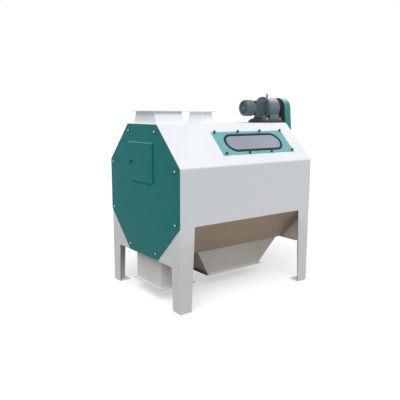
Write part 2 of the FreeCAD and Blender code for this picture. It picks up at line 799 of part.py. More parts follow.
rim = x_ring(rim_x0, rim_x1, frame_inside, spider_rim_inside)
hub_x0 = spider_x - spider_hub_length / 2
hub_x1 = spider_x + spider_hub_length / 2
hub = x_cylinder(hub_x0, hub_x1, spider_hub_radius)
spokes = []
for i in range(spider_spoke_count):
    half_spoke = spider_spoke_width / 2
    low_z = axis_height + spider_hub_radius - 3 * weld_overlap
    high_z = axis_height + spider_rim_inside + weld_overlap
    web = [(-half_spoke, low_z), (half_spoke, low_z), (0.7 * half_spoke, high_z), (-0.7 * half_spoke, high_z)]
    spoke = yz_prism(web, spider_x - spider_spoke_depth / 2, spider_x + spider_spoke_depth / 2)
    spokes.append(turned(spoke, 360 * i / spider_spoke_count))
spider = fused([rim, hub] + spokes)
spider = spider.cut(x_cylinder(hub_x0 - 1, hub_x1 + 1, shaft_radius))
save("drum_spider", spider)


def spiral(x0, x1, start_angle):
    """Helical guide strip standing inwards from the drum frame, in segments welded end to end."""
    outer = frame_inside - spiral_clearance
    inner = outer - spiral_height
    rise = x1 - x0 - spiral_sheet
    count = max(1, round(spiral_segments_per_turn * rise / spiral_pitch))
    helix = Part.makeHelix(spiral_pitch, rise / count, outer)
    wire = Part.makePolygon([vec(outer, 0, 0), vec(inner, 0, 0), vec(inner, 0, spiral_sheet),
                             vec(outer, 0, spiral_sheet), vec(outer, 0, 0)])
    segment = Part.Wire(helix.Edges).makePipeShell([wire], True, True)
    strip = []
    for i in range(count):
        piece = segment.copy()
        piece.translate(vec(0, 0, i * rise / count))
        piece.rotate(vec(0, 0, 0), vec(0, 0, 1), start_angle + 360 * i * rise / count / spiral_pitch)
        piece.rotate(vec(0, 0, 0), vec(0, 1, 0), 90)
        piece.translate(vec(x0, 0, axis_height))
        strip.append(piece)
    return strip


near_strip = spiral(drum_start_x + spiral_end_gap, rim_x0 - spiral_end_gap / 2, 0)
far_strip = spiral(rim_x1 + spiral_end_gap / 2, drum_end_x - spiral_end_gap, 40)
save("guide_spiral", near_strip + far_strip)

# Main shaft in two sealed bearings, in a carrier flanged to the far end plate

carrier_flange_x1 = far_x - end_sheet
carrier_flange_x0 = carrier_flange_x1 - carrier_flange_thickness
far_bearing_x0 = carrier_flange_x1 - bearing_width - bearing_shoulder
near_bearing_x0 = carrier_inner_x + bearing_shoulder
carrier = x_cylinder(carrier_inner_x, far_x, carrier_tube_radius)
carrier_parts = [carrier, x_cylinder(carrier_flange_x0, carrier_flange_x1, carrier_flange_radius)]
for i in range(carrier_rib_count):
    rib_foot = axis_height + carrier_tube_radius - weld_overlap
    rib_root = carrier_flange_x0 + weld_overlap / 2
    rib = xz_prism([(carrier_flange_x0 - carrier_rib_length, rib_foot),
                    (rib_root, axis_height + carrier_flange_radius - 1.5 * weld_overlap), (rib_root, rib_foot)],
                   -carrier_rib_sheet / 2, carrier_rib_sheet / 2)
    carrier_parts.append(turned(rib, 360 * i / carrier_rib_count))
carrier = fused(carrier_parts)
carrier_bore = bearing_outer_radius - bearing_shoulder
carrier = carrier.cut(x_cylinder(carrier_inner_x - 1, far_x + 1, carrier_bore))
carrier = carrier.cut(x_cylinder(carrier_inner_x - 1, near_bearing_x0 + bearing_width, bearing_outer_radius))
carrier = carrier.cut(x_cylinder(far_bearing_x0, far_x + 1, bearing_outer_radius))
for y, z in carrier_bolt_places:
    carrier = carrier.cut(x_cylinder(carrier_flange_x0 - 1, far_x, carrier_bolt_diameter / 2, y, z))
save("bearing_carrier", carrier)
save("shaft_bearings", [x_ring(x0, x0 + bearing_width, bearing_outer_radius, shaft_radius + running_clearance)
                        for x0 in (near_bearing_x0, far_bearing_x0)])

sprocket_x0 = sprocket_x - sprocket_width / 2
sprocket_x1 = sprocket_x + sprocket_width / 2
save("main_shaft", x_cylinder(hub_x0 - main_shaft_nose, sprocket_x1 + main_shaft_tail, shaft_radius))


def hexagon(u, v, radius):
    angles = [math.pi * i / 3 for i in range(6)]
    return [(u + radius * math.cos(a), v + radius * math.sin(a)) for a in angles]


def hex_bolt(x_head, x_tip, y, z, radius, head_radius, head_height):
    """Hexagon-headed bolt along X; the shank runs from the head's seat to the tip."""
    direction = 1 if x_tip > x_head else -1
    start = x_head - direction * head_height
    points = hexagon(y, z, head_radius)
    head = yz_prism(points, min(start, x_head), max(start, x_head))
    return fused([head, x_cylinder(min(x_head, x_tip), max(x_head, x_tip), radius, y, z)])


carrier_bolt_shank = carrier_bolt_diameter / 2 - 2 * running_clearance
carrier_bolts = [hex_bolt(far_x, carrier_flange_x0 - carrier_bolt_tail, y, z, carrier_bolt_shank,
                          carrier_bolt_head_radius, carrier_bolt_head_height) for y, z in carrier_bolt_places]
save("carrier_bolts", carrier_bolts)

# Brush above the drum: bristles in a bar, hung from brackets under the rear slope

brush_x0 = drum_start_x + brush_near_gap
brush_x1 = drum_end_x - brush_far_gap
brush_length = brush_x1 - brush_x0
tip_z = axis_height + drum_radius + brush_gap
bar_z0 = tip_z + bristle_length
bar_z1 = bar_z0 + brush_bar_height
bristles = block(brush_x0, brush_x1, -brush_width / 3, brush_width / 3, tip_z - 5, bar_z0)
bristles = bristles.cut(x_cylinder(brush_x0 - 1, brush_x1 + 1, drum_radius + brush_gap))
save("brush_bristles", turned(bristles, brush_angle))
bar = block(brush_x0, brush_x1, -brush_width / 2, brush_width / 2, bar_z0, bar_z1)
save("brush_bar", turned(bar, brush_angle))
brackets = []
for i in range(brush_bracket_count):
    x = brush_x0 + brush_length * (i + 0.5) / brush_bracket_count
    half_bracket = brush_bracket_width / 2
    side = brush_width / 2
    roof = axis_height + inner_half
    up = block(x - half_bracket, x + half_bracket, side, side + brush_bracket_sheet, bar_z0, roof)
    top = block(x - half_bracket, x + half_bracket, side, side + brush_bracket_reach,
                roof - brush_bracket_sheet, roof)
    brackets.append(turned(fused([up, top]), brush_angle))
save("brush_brackets", brackets)

# Chain drive: the motor is set on its base so that the chain closes with a whole number of links

driver_pitch_radius = chain_pitch / 2 / math.sin(math.pi / driver_teeth)
driven_pitch_radius = chain_pitch / 2 / math.sin(math.pi / driven_teeth)

# The fewest links, an even number, that lift the motor's base clear of the hood

least_rise = half_width + motor_rail_least_height + motor_base_plate + gearbox_centre_height
least_distance = math.hypot(least_rise, motor_offset_y)
wrap = (driver_teeth + driven_teeth) / 2
wrap += ((driven_teeth - driver_teeth) / (2 * math.pi)) ** 2 * chain_pitch / least_distance
chain_links = 2 * math.ceil((2 * least_distance / chain_pitch + wrap) / 2)


def chain_path(distance):
    """Lean of the straight runs, their length, and the arcs on the driver and on the driven wheel."""
    lean = math.asin((driven_pitch_radius - driver_pitch_radius) / distance)
    span = distance * math.cos(lean)
    return lean, span, driver_pitch_radius * (math.pi - 2 * lean), driven_pitch_radius * (math.pi + 2 * lean)


def chain_point(s, distance):
    """The point at length s along the pitch line, from where the right-hand span leaves the driven wheel."""
    lean, span, top_arc, bottom_arc = chain_path(distance)
    s = s % (2 * span + top_arc + bottom_arc)
    along = (-math.sin(lean), math.cos(lean))
    out = (math.cos(lean), math.sin(lean))
    if s < span:
        return (driven_pitch_radius * out[0] + s * along[0], driven_pitch_radius * out[1] + s * along[1])
    s -= span
    if s < top_arc:
        a = lean + s / driver_pitch_radius
        return (driver_pitch_radius * math.cos(a), distance + driver_pitch_radius * math.sin(a))
    s -= top_arc
    if s < span:
        return (-driver_pitch_radius * out[0] - s * math.sin(lean),
                distance + driver_pitch_radius * out[1] - s * math.cos(lean))
    s -= span
    a = math.pi - lean + s / driven_pitch_radius
    return (driven_pitch_radius * math.cos(a), driven_pitch_radius * math.sin(a))


def next_roller(s, distance):
    """The length at which the next roller sits, one straight pitch on from the roller at s."""
    u0, v0 = chain_point(s, distance)
    low, high = s + 0.9 * chain_pitch, s + 1.1 * chain_pitch
    for _ in range(40):
        middle = (low + high) / 2
        u, v = chain_point(middle, distance)
        if math.hypot(u - u0, v - v0) < chain_pitch:
            low = middle
        else:
            high = middle
    return (low + high) / 2


def roller_lengths(distance):
    lengths = [0.0]
    for _ in range(chain_links):
        lengths.append(next_roller(lengths[-1], distance))
    return lengths


def closing_error(distance):
    lean, span, top_arc, bottom_arc = chain_path(distance)
    return roller_lengths(distance)[-1] - (2 * span + top_arc + bottom_arc)


low = (chain_links - (driver_teeth + driven_teeth) / 2) * chain_pitch / 2 * 0.95
high = low / 0.95
for _ in range(40):
    middle = (low + high) / 2
    if closing_error(middle) > 0:
        low = middle
    else:
        high = middle
shaft_distance = (low + high) / 2
motor_z = axis_height + math.sqrt(shaft_distance ** 2 - motor_offset_y ** 2)
drive_lean = math.asin(motor_offset_y / shaft_distance)


def drive_plane(u, v):
    """From the chain's own frame to (y, z) in the machine."""
    return (u * math.cos(drive_lean) + v * math.sin(drive_lean),
            axis_height - u * math.sin(drive_lean) + v * math.cos(drive_lean))


roller_places = [drive_plane(*chain_point(s, shaft_distance)) for s in roller_lengths(shaft_distance)[:-1]]


def roller_angle_on(wheel_y, wheel_z, radius):
    """The polar angle of a roller seated on a wheel, taken from the roller furthest round it."""
    best = min(roller_places, key=lambda p: abs(math.hypot(p[0] - wheel_y, p[1] - wheel_z) - radius))
    return math.atan2(best[1] - wheel_z, best[0] - wheel_y)


def sprocket(teeth, y, z, pitch_radius, hub_radius, bore, hub_side):
    """Toothed wheel whose gaps lie under the seated rollers, with a hub on one side."""
    phase = roller_angle_on(y, z, pitch_radius)
    step = 2 * math.pi / teeth
    seat = pitch_radius - chain_roller_radius - roller_seat_clearance
    tip = pitch_radius + 0.35 * chain_pitch
    gap_half = (chain_roller_radius + roller_seat_clearance) / pitch_radius
    outline = []
    for i in range(teeth):
        centre = phase + i * step
        for offset, radius in ((-0.55 * gap_half, seat), (0.55 * gap_half, seat),
                               (gap_half * 1.04, pitch_radius + 0.4), (0.44 * step, tip), (0.56 * step, tip),
                               (step - gap_half * 1.04, pitch_radius + 0.4)):
            outline.append((y + radius * math.cos(centre + offset), z + radius * math.sin(centre + offset)))
    wheel = yz_prism(outline, sprocket_x0, sprocket_x1)
    hub_x = sorted([sprocket_x, sprocket_x + hub_side * sprocket_hub_length])
    wheel = fused([wheel, x_cylinder(hub_x[0], hub_x[1], hub_radius, y, z)])
    return wheel.cut(x_cylinder(hub_x[0] - 1, sprocket_x1 + 1, bore, y, z))


driven = sprocket(driven_teeth, 0, axis_height, driven_pitch_radius, driven_hub_radius, shaft_radius, -1)
lightening_hole = x_cylinder(sprocket_x0 - 1, sprocket_x1 + 1, lightening_hole_radius, 0,
                             axis_height + lightening_hole_circle)
for i in range(lightening_hole_count):
    driven = driven.cut(turned(lightening_hole, 360 * i / lightening_hole_count))
save("driven_sprocket", driven)
save("drive_sprocket", sprocket(driver_teeth, motor_offset_y, motor_z, driver_pitch_radius, drive_hub_radius,
                                output_shaft_radius, -1))


def link_plate(a, b, x0, x1):
    """Chain side plate over two pins, with six sides."""
    dy, dz = b[0] - a[0], b[1] - a[1]
    length = math.hypot(dy, dz)
    ty, tz = dy / length, dz / length
    h = chain_plate_height / 2
    points = []
    for centre, way in ((a, -1), (b, 1)):
        nose = (centre[0] + way * ty * 0.9 * h, centre[1] + way * tz * 0.9 * h)
        along = (centre[0] + way * ty * 0.25 * h, centre[1] + way * tz * 0.25 * h)
        across = (way * tz * 0.9 * h, way * ty * 0.9 * h)
        points.append((along[0] + across[0], along[1] - across[1]))
        points.append(nose)
        points.append((along[0] - across[0], along[1] + across[1]))
    return yz_prism(points, x0, x1)


def roller(centre):
    points = hexagon(centre[0], centre[1], 0.98 * chain_roller_radius)
    return yz_prism(points, sprocket_x - chain_inner_width / 2, sprocket_x + chain_inner_width / 2)


chain = []
for i, place in enumerate(roller_places):
    other = roller_places[(i + 1) % chain_links]
    inside = chain_inner_width / 2 + (0 if i % 2 == 0 else chain_plate_thickness)
    for side in (-1, 1):
        xs = sorted([sprocket_x + side * inside, sprocket_x + side * (inside + chain_plate_thickness)])
        chain.append(link_plate(place, other, xs[0], xs[1]))
    chain.append(roller(place))
save("roller_chain", chain)

# Chain guard: a back plate on stand-offs and a deep dished cover


def guard_outline(top_radius, bottom_radius, x):
    """Closed wire round two circles joined by their outer tangents."""
    lean = math.asin((bottom_radius - top_radius) / shaft_distance)
    def on_circle(radius, v, angle):
        return vec(x, *drive_plane(radius * math.cos(angle), v + radius * math.sin(angle)))
    right_low = on_circle(bottom_radius, 0, lean)
    right_high = on_circle(top_radius, shaft_distance, lean)
    left_high = on_circle(top_radius, shaft_distance, math.pi - lean)
    left_low = on_circle(bottom_radius, 0, math.pi - lean)
    top_arc = Part.Arc(right_high, on_circle(top_radius, shaft_distance, math.pi / 2), left_high).toShape()
    low_arc = Part.Arc(left_low, on_circle(bottom_radius, 0, -math.pi / 2), right_low).toShape()
    right_line = Part.makeLine(right_low, right_high)
    left_line = Part.makeLine(left_high, left_low)
    return Part.Wire([right_line, top_arc, left_line, low_arc])


def guard_solid(inset, x0, x1):
    outline = guard_outline(guard_top_radius - inset, guard_bottom_radius - inset, x0)
    return Part.Face(outline).extrude(vec(x1 - x0, 0, 0))


guard_x0 = guard_plate_x + guard_plate_sheet
guard_x1 = guard_x0 + guard_depth
low_r = guard_bottom_radius
standoff_places = [drive_plane(u, v) for u, v in (
    (-0.625 * low_r, -0.55 * low_r), (0.625 * low_r, -0.55 * low_r), (-0.75 * low_r, 0.65 * low_r),
    (0.75 * low_r, 0.65 * low_r), (-0.55 * low_r, 0.64 * shaft_distance),
    (0.45 * low_r, 0.64 * shaft_distance))]
guard_bolt_places = [drive_plane(u, v) for u, v in (
    (-0.635 * low_r, -0.635 * low_r), (0.635 * low_r, -0.635 * low_r), (0, 0.48 * shaft_distance),
    (0, shaft_distance + guard_top_radius - 1.5 * guard_bolt_head_radius))]
back_plate = guard_solid(0, guard_plate_x, guard_x0)
for radius, y, z in ((shaft_radius, 0, axis_height), (output_shaft_radius, motor_offset_y, motor_z)):
    back_plate = back_plate.cut(x_cylinder(guard_plate_x - 1, guard_x0 + 1, radius + guard_shaft_gap, y, z))
save("guard_back_plate", back_plate)
cover_shell = guard_solid(0, guard_x0, guard_x1)
cover_shell = cover_shell.cut(guard_solid(guard_sheet, guard_x0 - 1, guard_x1 - guard_sheet))
for y, z in guard_bolt_places:
    cover_shell = cover_shell.cut(x_cylinder(guard_x1 - 2 * guard_sheet, guard_x1 + 1,
                                             guard_bolt_radius + 2 * running_clearance, y, z))
save("guard_cover", cover_shell)
standoffs = [x_cylinder(far_x, guard_plate_x, guard_standoff_radius, y, z) for y, z in standoff_places]
save("guard_standoffs", standoffs)
guard_bolts = [hex_bolt(guard_x1, guard_x0, y, z, guard_bolt_radius, guard_bolt_head_radius,
                        guard_bolt_head_height) for y, z in guard_bolt_places]
save("guard_bolts", guard_bolts)

# Gear motor on its base

motor_y = motor_offset_y
base_top_z = motor_z - gearbox_centre_height
rail_top_z = base_top_z - motor_base_plate
half_base = motor_base_width / 2
gearbox_foot_start_x = gearbox_start_x - gearbox_foot_near_reach
gearbox_foot_end_x = gearbox_end_x + gearbox_foot_far_reach
motor_base_start_x = gearbox_foot_start_x - motor_base_near_margin
motor_base_end_x = gearbox_foot_end_x + motor_base_far_margin
base = block(motor_base_start_x, motor_base_end_x, motor_y - half_base, motor_y + half_base,
             rail_top_z, base_top_z)
rails = []
last_rail_x = far_x - motor_rail_width - end_sheet
for x in (motor_base_start_x + motor_rail_inset, last_rail_x):
    rails.append(block(x, x + motor_rail_width, motor_y - half_base, motor_y + half_base, top_z, rail_top_z))
save("motor_base_rails", rails)

far_bolt_x = gearbox_foot_end_x - foot_bolt_edge
foot_top_z = base_top_z + gearbox_foot_thickness
foot_bolt_places = [(x, motor_y + side * foot_bolt_spacing_y / 2)
                    for x in (far_bolt_x - foot_bolt_spacing_x, far_bolt_x) for side in (-1, 1)]
half_foot = gearbox_foot_width / 2
half_pedestal = gearbox_pedestal_width / 2
cover_start_x = gearbox_end_x - gearbox_cover_thickness
bell_x0 = gearbox_start_x - gearbox_bell_width
saddle_x0 = gearbox_foot_start_x + saddle_inset
pedestal_x0 = gearbox_start_x + 2 * gearbox_cover_thickness
half_saddle = saddle_width / 2
flared = half_saddle + saddle_foot_flare
flare_top_z = foot_top_z + saddle_foot_flare
motor_half = motor_body_radius + motor_fin_height
saddle_top_z = motor_z - motor_half - seam_clearance
saddle_outline = [(-flared, base_top_z), (flared, base_top_z), (flared, foot_top_z),
                  (half_saddle, flare_top_z), (half_saddle, saddle_top_z), (-half_saddle, saddle_top_z),
                  (-half_saddle, flare_top_z), (-flared, foot_top_z)]
saddle = yz_prism([(motor_y + u, v) for u, v in saddle_outline], saddle_x0, pedestal_x0)
gearbox = fused([
    saddle,
    x_cylinder(gearbox_start_x, cover_start_x, gearbox_radius, motor_y, motor_z),
    x_cylinder(cover_start_x, gearbox_end_x, gearbox_radius - gearbox_cover_thickness, motor_y, motor_z),
    block(pedestal_x0, gearbox_end_x - 2, motor_y - half_pedestal, motor_y + half_pedestal,
          base_top_z, motor_z - gearbox_radius / 3),
    block(gearbox_foot_start_x, gearbox_foot_end_x, motor_y - half_foot, motor_y + half_foot,
          base_top_z, foot_top_z),
])
gear_room = x_cylinder(gearbox_start_x - 1, gearbox_end_x - 2.5 * gearbox_wall, gearbox_radius - gearbox_wall,
                       motor_y, motor_z)
bell_room = x_cylinder(bell_x0 - bell_shoulder - seam_clearance, gearbox_start_x,
                       gearbox_bell_radius + seam_clearance, motor_y, motor_z)
shaft_bore = x_cylinder(gearbox_end_x - output_shaft_seat - 2, gearbox_end_x + 1,
                        output_shaft_radius + running_clearance, motor_y, motor_z)
for room in (gear_room, bell_room, shaft_bore):
    gearbox = gearbox.cut(room)
for x, y in foot_bolt_places:
    gearbox = gearbox.cut(z_cylinder(x, y, base_top_z - 1, foot_top_z + 1, foot_bolt_diameter / 2))
    base = base.cut(z_cylinder(x, y, rail_top_z - 1, base_top_z + 1, foot_bolt_diameter / 2))
save("gearbox_housing", gearbox)
save("motor_base_plate", base)

foot_bolts = []
for x, y in foot_bolt_places:
    corners = [vec(u, v, foot_top_z) for u, v in hexagon(x, y, foot_bolt_head_radius)]
    head = Part.Face(Part.makePolygon(corners + corners[:1])).extrude(vec(0, 0, foot_bolt_head_height))
    shank = z_cylinder(x, y, rail_top_z, foot_top_z, foot_bolt_diameter / 2 - running_clearance)
    foot_bolts.append(fused([head, shank]))
save("gearbox_foot_bolts", foot_bolts)

rotor_bore = rotor_shaft_radius + running_clearance
bell = x_revolve([(body_end_x, motor_body_radius - 4), (bell_x0 - bell_shoulder, motor_body_radius + 4),
                  (bell_x0, gearbox_bell_radius), (gearbox_start_x, gearbox_bell_radius),
                  (gearbox_start_x, rotor_bore), (body_end_x, rotor_bore)], motor_y, motor_z)
save("gearbox_input_flange", bell)
save("output_shaft", x_cylinder(gearbox_end_x - output_shaft_seat, sprocket_x1 + output_shaft_tail,
                                output_shaft_radius, motor_y, motor_z))

# Lifting eye: a forged ring of eight-sided section on a collar that sits on the gearbox

eye_bolt_x = gearbox_start_x + eye_bolt_setback
eye_z = motor_z + gearbox_radius
eye_centre_z = eye_z + eye_shank_height - 1 + eye_ring_radius
section = []
for i in range(9):
    angle = eighth + i * math.pi / 4
    section.append(vec(eye_bolt_x + eye_wire_radius * math.cos(angle), motor_y,
                       eye_centre_z + eye_ring_radius - eye_wire_radius + eye_wire_radius * math.sin(angle)))
eye_face = Part.Face(Part.makePolygon(section))
eye = eye_face.revolve(vec(eye_bolt_x, motor_y, eye_centre_z), vec(1, 0, 0), 360)
shank = z_cylinder(eye_bolt_x, motor_y, eye_z - 1, eye_z + eye_shank_height, eye_shank_radius)
shank = shank.cut(x_cylinder(gearbox_start_x, gearbox_end_x, gearbox_radius, motor_y, motor_z))
save("eye_bolt", fused([shank, eye]))

# Motor: a barrel in a squared cage of fins, with corner lugs, a bare pad in front and a seat for the
# terminal box behind, a cowl over the fan, and the rotor inside

motor_parts = [x_cylinder(motor_start_x, body_end_x, motor_body_radius, motor_y, motor_z)]
fin_x0 = motor_start_x + cowl_lap + seam_clearance
fin_x1 = body_end_x - motor_end_land
half_fin = motor_fin_sheet / 2
for i in range(motor_fin_count):
    offset = (i - (motor_fin_count - 1) / 2) * motor_fin_pitch
    motor_parts.append(block(fin_x0, fin_x1, motor_y - motor_half, motor_y + motor_half,
                             motor_z + offset - half_fin, motor_z + offset + half_fin))
    motor_parts.append(block(fin_x0, fin_x1, motor_y + offset - half_fin, motor_y + offset + half_fin,
                             motor_z - motor_half, motor_z + motor_half))
lug_y1 = motor_half - motor_lug_inset
lug = block(fin_x0, fin_x1, motor_y + lug_y1 - motor_lug_width, motor_y + lug_y1,
            motor_z + lug_y1 - motor_lug_width, motor_z + lug_y1)
motor_parts.extend(turned(lug, quarter, motor_y, motor_z) for quarter in (0, 90, 180, 270))
motor_parts.append(block(fin_x0, fin_x1, motor_y - motor_half, motor_y - motor_half + motor_pad_depth,
                         motor_z - motor_pad_bottom, motor_z + motor_half))
seat_x = motor_start_x + (motor_body_length - terminal_seat_length) / 2
seat_y = motor_y + motor_body_radius - 2 * motor_end_land
seat_end_y = seat_y + terminal_seat_depth
motor_parts.append(block(seat_x, seat_x + terminal_seat_length, seat_y, seat_end_y,
                         motor_z - terminal_seat_height / 2, motor_z + terminal_seat_height / 2))
motor_body = fused(motor_parts)
motor_body = motor_body.cut(x_cylinder(motor_start_x + motor_bore_end_wall, body_end_x + 1, motor_bore_radius,
                                       motor_y, motor_z))
motor_body = motor_body.cut(x_cylinder(motor_start_x - 1, body_end_x, rotor_bore, motor_y, motor_z))
save("motor_housing", motor_body)
box_x0 = seat_x + (terminal_seat_length - terminal_box_length) / 2
save("terminal_box", block(box_x0, box_x0 + terminal_box_length, seat_end_y, seat_end_y + terminal_box_depth,
                           motor_z - terminal_box_height / 2, motor_z + terminal_box_height / 2))

cowl_end_x = motor_start_x + cowl_lap
cowl_inside = cowl_radius - cowl_sheet
cowl = x_revolve([(cowl_start_x, 0), (cowl_start_x, cowl_radius - cowl_chamfer),
                  (cowl_start_x + cowl_chamfer, cowl_radius), (cowl_end_x, cowl_radius),
                  (cowl_end_x, cowl_inside), (cowl_start_x + cowl_chamfer + 1, cowl_inside),
                  (cowl_start_x + cowl_sheet, cowl_radius - cowl_chamfer - 1),
                  (cowl_start_x + cowl_sheet, 0)], motor_y, motor_z)
for i in range(cowl_slot_count):
    slot = block(cowl_start_x - 1, cowl_start_x + 2 * cowl_sheet + 1, motor_y - cowl_slot_width / 2,
                 motor_y + cowl_slot_width / 2, motor_z + cowl_hub_radius,
                 motor_z + cowl_radius - 1.5 * cowl_chamfer)
    cowl = cowl.cut(turned(slot, 360 * i / cowl_slot_count, motor_y, motor_z))
save("fan_cowl", cowl)

core_x0 = motor_start_x + motor_bore_end_wall + cowl_lap
rotor = fused([
    x_cylinder(cowl_start_x + fan_gap, gearbox_start_x + rotor_shaft_reach, rotor_shaft_radius,
               motor_y, motor_z),
    x_cylinder(core_x0, body_end_x - gearbox_wall, rotor_core_radius, motor_y, motor_z),
])
save("motor_rotor", rotor)
fan_x0 = cowl_start_x + fan_gap + 2 * cowl_sheet
fan_x1 = motor_start_x - fan_gap
fan_parts = [x_ring(fan_x0, fan_x1, cowl_hub_radius, rotor_shaft_radius, motor_y, motor_z)]
for i in range(fan_blade_count):
    blade = block(fan_x0, fan_x1, motor_y - fan_blade_sheet / 2, motor_y + fan_blade_sheet / 2,
                  motor_z + cowl_hub_radius - 2, motor_z + fan_radius)
    fan_parts.append(turned(blade, 360 * i / fan_blade_count, motor_y, motor_z))
fan_parts.append(x_ring(fan_x1, fan_x1 + fan_blade_sheet, fan_radius, rotor_shaft_radius, motor_y, motor_z))
save("cooling_fan", fused(fan_parts))

print("motor axis z", round(motor_z, 2), "shaft distance", round(shaft_distance, 2))
print("drive ratio", driven_teeth / driver_teeth)
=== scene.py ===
import json
import math

import bpy
from mathutils import Matrix, Vector


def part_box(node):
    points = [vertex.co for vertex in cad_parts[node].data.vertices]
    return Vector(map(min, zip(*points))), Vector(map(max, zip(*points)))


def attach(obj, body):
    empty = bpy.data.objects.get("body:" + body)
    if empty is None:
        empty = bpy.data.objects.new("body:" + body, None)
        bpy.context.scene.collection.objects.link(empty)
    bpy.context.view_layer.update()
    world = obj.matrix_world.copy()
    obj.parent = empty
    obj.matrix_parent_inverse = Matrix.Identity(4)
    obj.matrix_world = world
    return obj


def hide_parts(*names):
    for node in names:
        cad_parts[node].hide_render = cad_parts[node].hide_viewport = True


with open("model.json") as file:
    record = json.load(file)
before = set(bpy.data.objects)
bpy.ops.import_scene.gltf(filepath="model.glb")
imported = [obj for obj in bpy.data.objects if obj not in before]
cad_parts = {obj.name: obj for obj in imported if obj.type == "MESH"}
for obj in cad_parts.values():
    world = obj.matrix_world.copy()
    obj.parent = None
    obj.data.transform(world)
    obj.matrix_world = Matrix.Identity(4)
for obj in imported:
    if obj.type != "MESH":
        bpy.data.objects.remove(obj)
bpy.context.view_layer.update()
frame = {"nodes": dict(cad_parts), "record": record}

# Camera, solved from the edges of the housing in a 400 by 400 frame
CAMERA_PLACE = (-2.53731, -3.23305, 1.41414)
CAMERA_YAW = -36.871
CAMERA_PITCH = 9.995
CAMERA_ROLL = 0.21
FOCAL_PIXELS = 496.6
FRAME_PIXELS = 400
SENSOR_MM = 36.0

# Sizes shared with the solid model, in metres
SHEET = 0.0025
COVER_SHEET = 0.003
NUT_PLACES = ((0.188, 0.449), (0.449, 0.188))
DRUM_RADIUS = 0.400
WINDOW_X = 0.150
WINDOW_FOLD = -0.205
WINDOW_LENGTH = 0.584
WINDOW_HEIGHT = 0.171
KNOB_PITCH = 0.231
KNOB_ROWS = 0.212
GEARBOX_START = 0.5342
GEARBOX_END = 0.6540
GEARBOX_RADIUS = 0.0920
BELL_ROOM_START = 0.5114
BELL_ROOM_RADIUS = 0.0974
SADDLE_END = 0.552
PLUG_X = 0.593
OVERRUN = 0.02
QUARTER = math.pi / 2

# Places taken from the frame, in metres
HOUSING_LOW, HOUSING_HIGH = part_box("front_side_panel")
NEAR_X = HOUSING_LOW[0]
FAR_X = HOUSING_HIGH[0]
HALF_WIDTH = -HOUSING_LOW[1]
AXIS_Z = (HOUSING_LOW[2] + HOUSING_HIGH[2]) / 2
FLAT_HALF = (HOUSING_HIGH[2] - HOUSING_LOW[2]) / 2
TOP_Z = AXIS_Z + HALF_WIDTH
COVER_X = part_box("end_cover_gasket")[0][0] - COVER_SHEET
ROTOR_LOW, ROTOR_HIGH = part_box("motor_rotor")
MOTOR_Y = (ROTOR_LOW[1] + ROTOR_HIGH[1]) / 2
MOTOR_Z = (ROTOR_LOW[2] + ROTOR_HIGH[2]) / 2
MOTOR_FACE = -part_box("motor_housing")[0][1]


# Hand tools

def object_mode():
    if bpy.context.mode != "OBJECT":
        bpy.ops.object.mode_set(mode="OBJECT")


def clear():
    """Object mode, with nothing selected."""
    object_mode()
    bpy.ops.object.select_all(action="DESELECT")


def only(piece):
    """Object mode, with this piece alone selected and active."""
    clear()
    piece.select_set(True)
    bpy.context.view_layer.objects.active = piece
    return piece


def settle(piece):
    """Write the piece's place into its mesh."""
    only(piece)
    bpy.ops.object.transform_apply(location=True, rotation=True, scale=True)
    return piece


def began(name):
    """Name the piece just added and settle it."""
    piece = bpy.context.object
    piece.name = name
    piece.data.name = name
    return settle(piece)


def middle(low, high):
    """The point halfway between two corners."""
    return tuple((a + b) / 2 for a, b in zip(low, high))


def rod(name, x0, x1, radius, y=0.0, z=AXIS_Z, sides=48, fill="NGON"):
    """A round bar along X."""
    clear()
    bpy.ops.mesh.primitive_cylinder_add(vertices=sides, radius=radius, depth=x1 - x0, end_fill_type=fill,
                                        location=((x0 + x1) / 2, y, z), rotation=(0, QUARTER, 0))
    return began(name)


def post(name, x, y, z0, z1, radius, sides=32):
    """A round bar standing up."""
    clear()
    bpy.ops.mesh.primitive_cylinder_add(vertices=sides, radius=radius, depth=z1 - z0,
                                        location=(x, y, (z0 + z1) / 2))
    return began(name)


def slab(name, x0, x1, y0, y1, z0, z1):
    """A squared block between two corners."""
    clear()
    bpy.ops.mesh.primitive_cube_add(size=1, location=((x0 + x1) / 2, (y0 + y1) / 2, (z0 + z1) / 2),
                                    scale=(x1 - x0, y1 - y0, z1 - z0))
    return began(name)


def ring(name, x, y, z, major, minor, around, across):
    """A round wire bent to a circle about X."""
    clear()
    bpy.ops.mesh.primitive_torus_add(major_radius=major, minor_radius=minor, major_segments=around,
                                     minor_segments=across, location=(x, y, z), rotation=(0, QUARTER, 0))
    return began(name)


PARTS = {"FACE": "polygons", "EDGE": "edges", "VERT": "vertices"}


def select(piece, kind, wanted):
    """Edit mode, with the faces, edges or points selected that wanted() accepts."""
    only(piece)
    bpy.ops.object.mode_set(mode="EDIT")
    bpy.ops.mesh.select_mode(type=kind)
    bpy.ops.mesh.select_all(action="DESELECT")
    object_mode()
    for part in getattr(piece.data, PARTS[kind]):
        part.select = wanted(part)
    bpy.ops.object.mode_set(mode="EDIT")


def pick(piece, wanted):
    """Select faces by their centre and normal."""
    select(piece, "FACE", lambda face: wanted(face.center, face.normal))


def pick_edges(piece, wanted):
    """Select edges by their two ends."""
    select(piece, "EDGE", lambda edge: wanted(*(piece.data.vertices[i].co for i in edge.vertices)))


def pick_points(piece, wanted):
    """Select points by their place."""
    select(piece, "VERT", lambda point: wanted(point.co))


def edit_all(piece):
    """Edit mode, with the whole piece selected."""
    only(piece)
    bpy.ops.object.mode_set(mode="EDIT")
    bpy.ops.mesh.select_all(action="SELECT")


def moved(piece, wanted, way):
    """Move the points that wanted() accepts."""
    pick_points(piece, wanted)
    bpy.ops.transform.translate(value=way)
    object_mode()


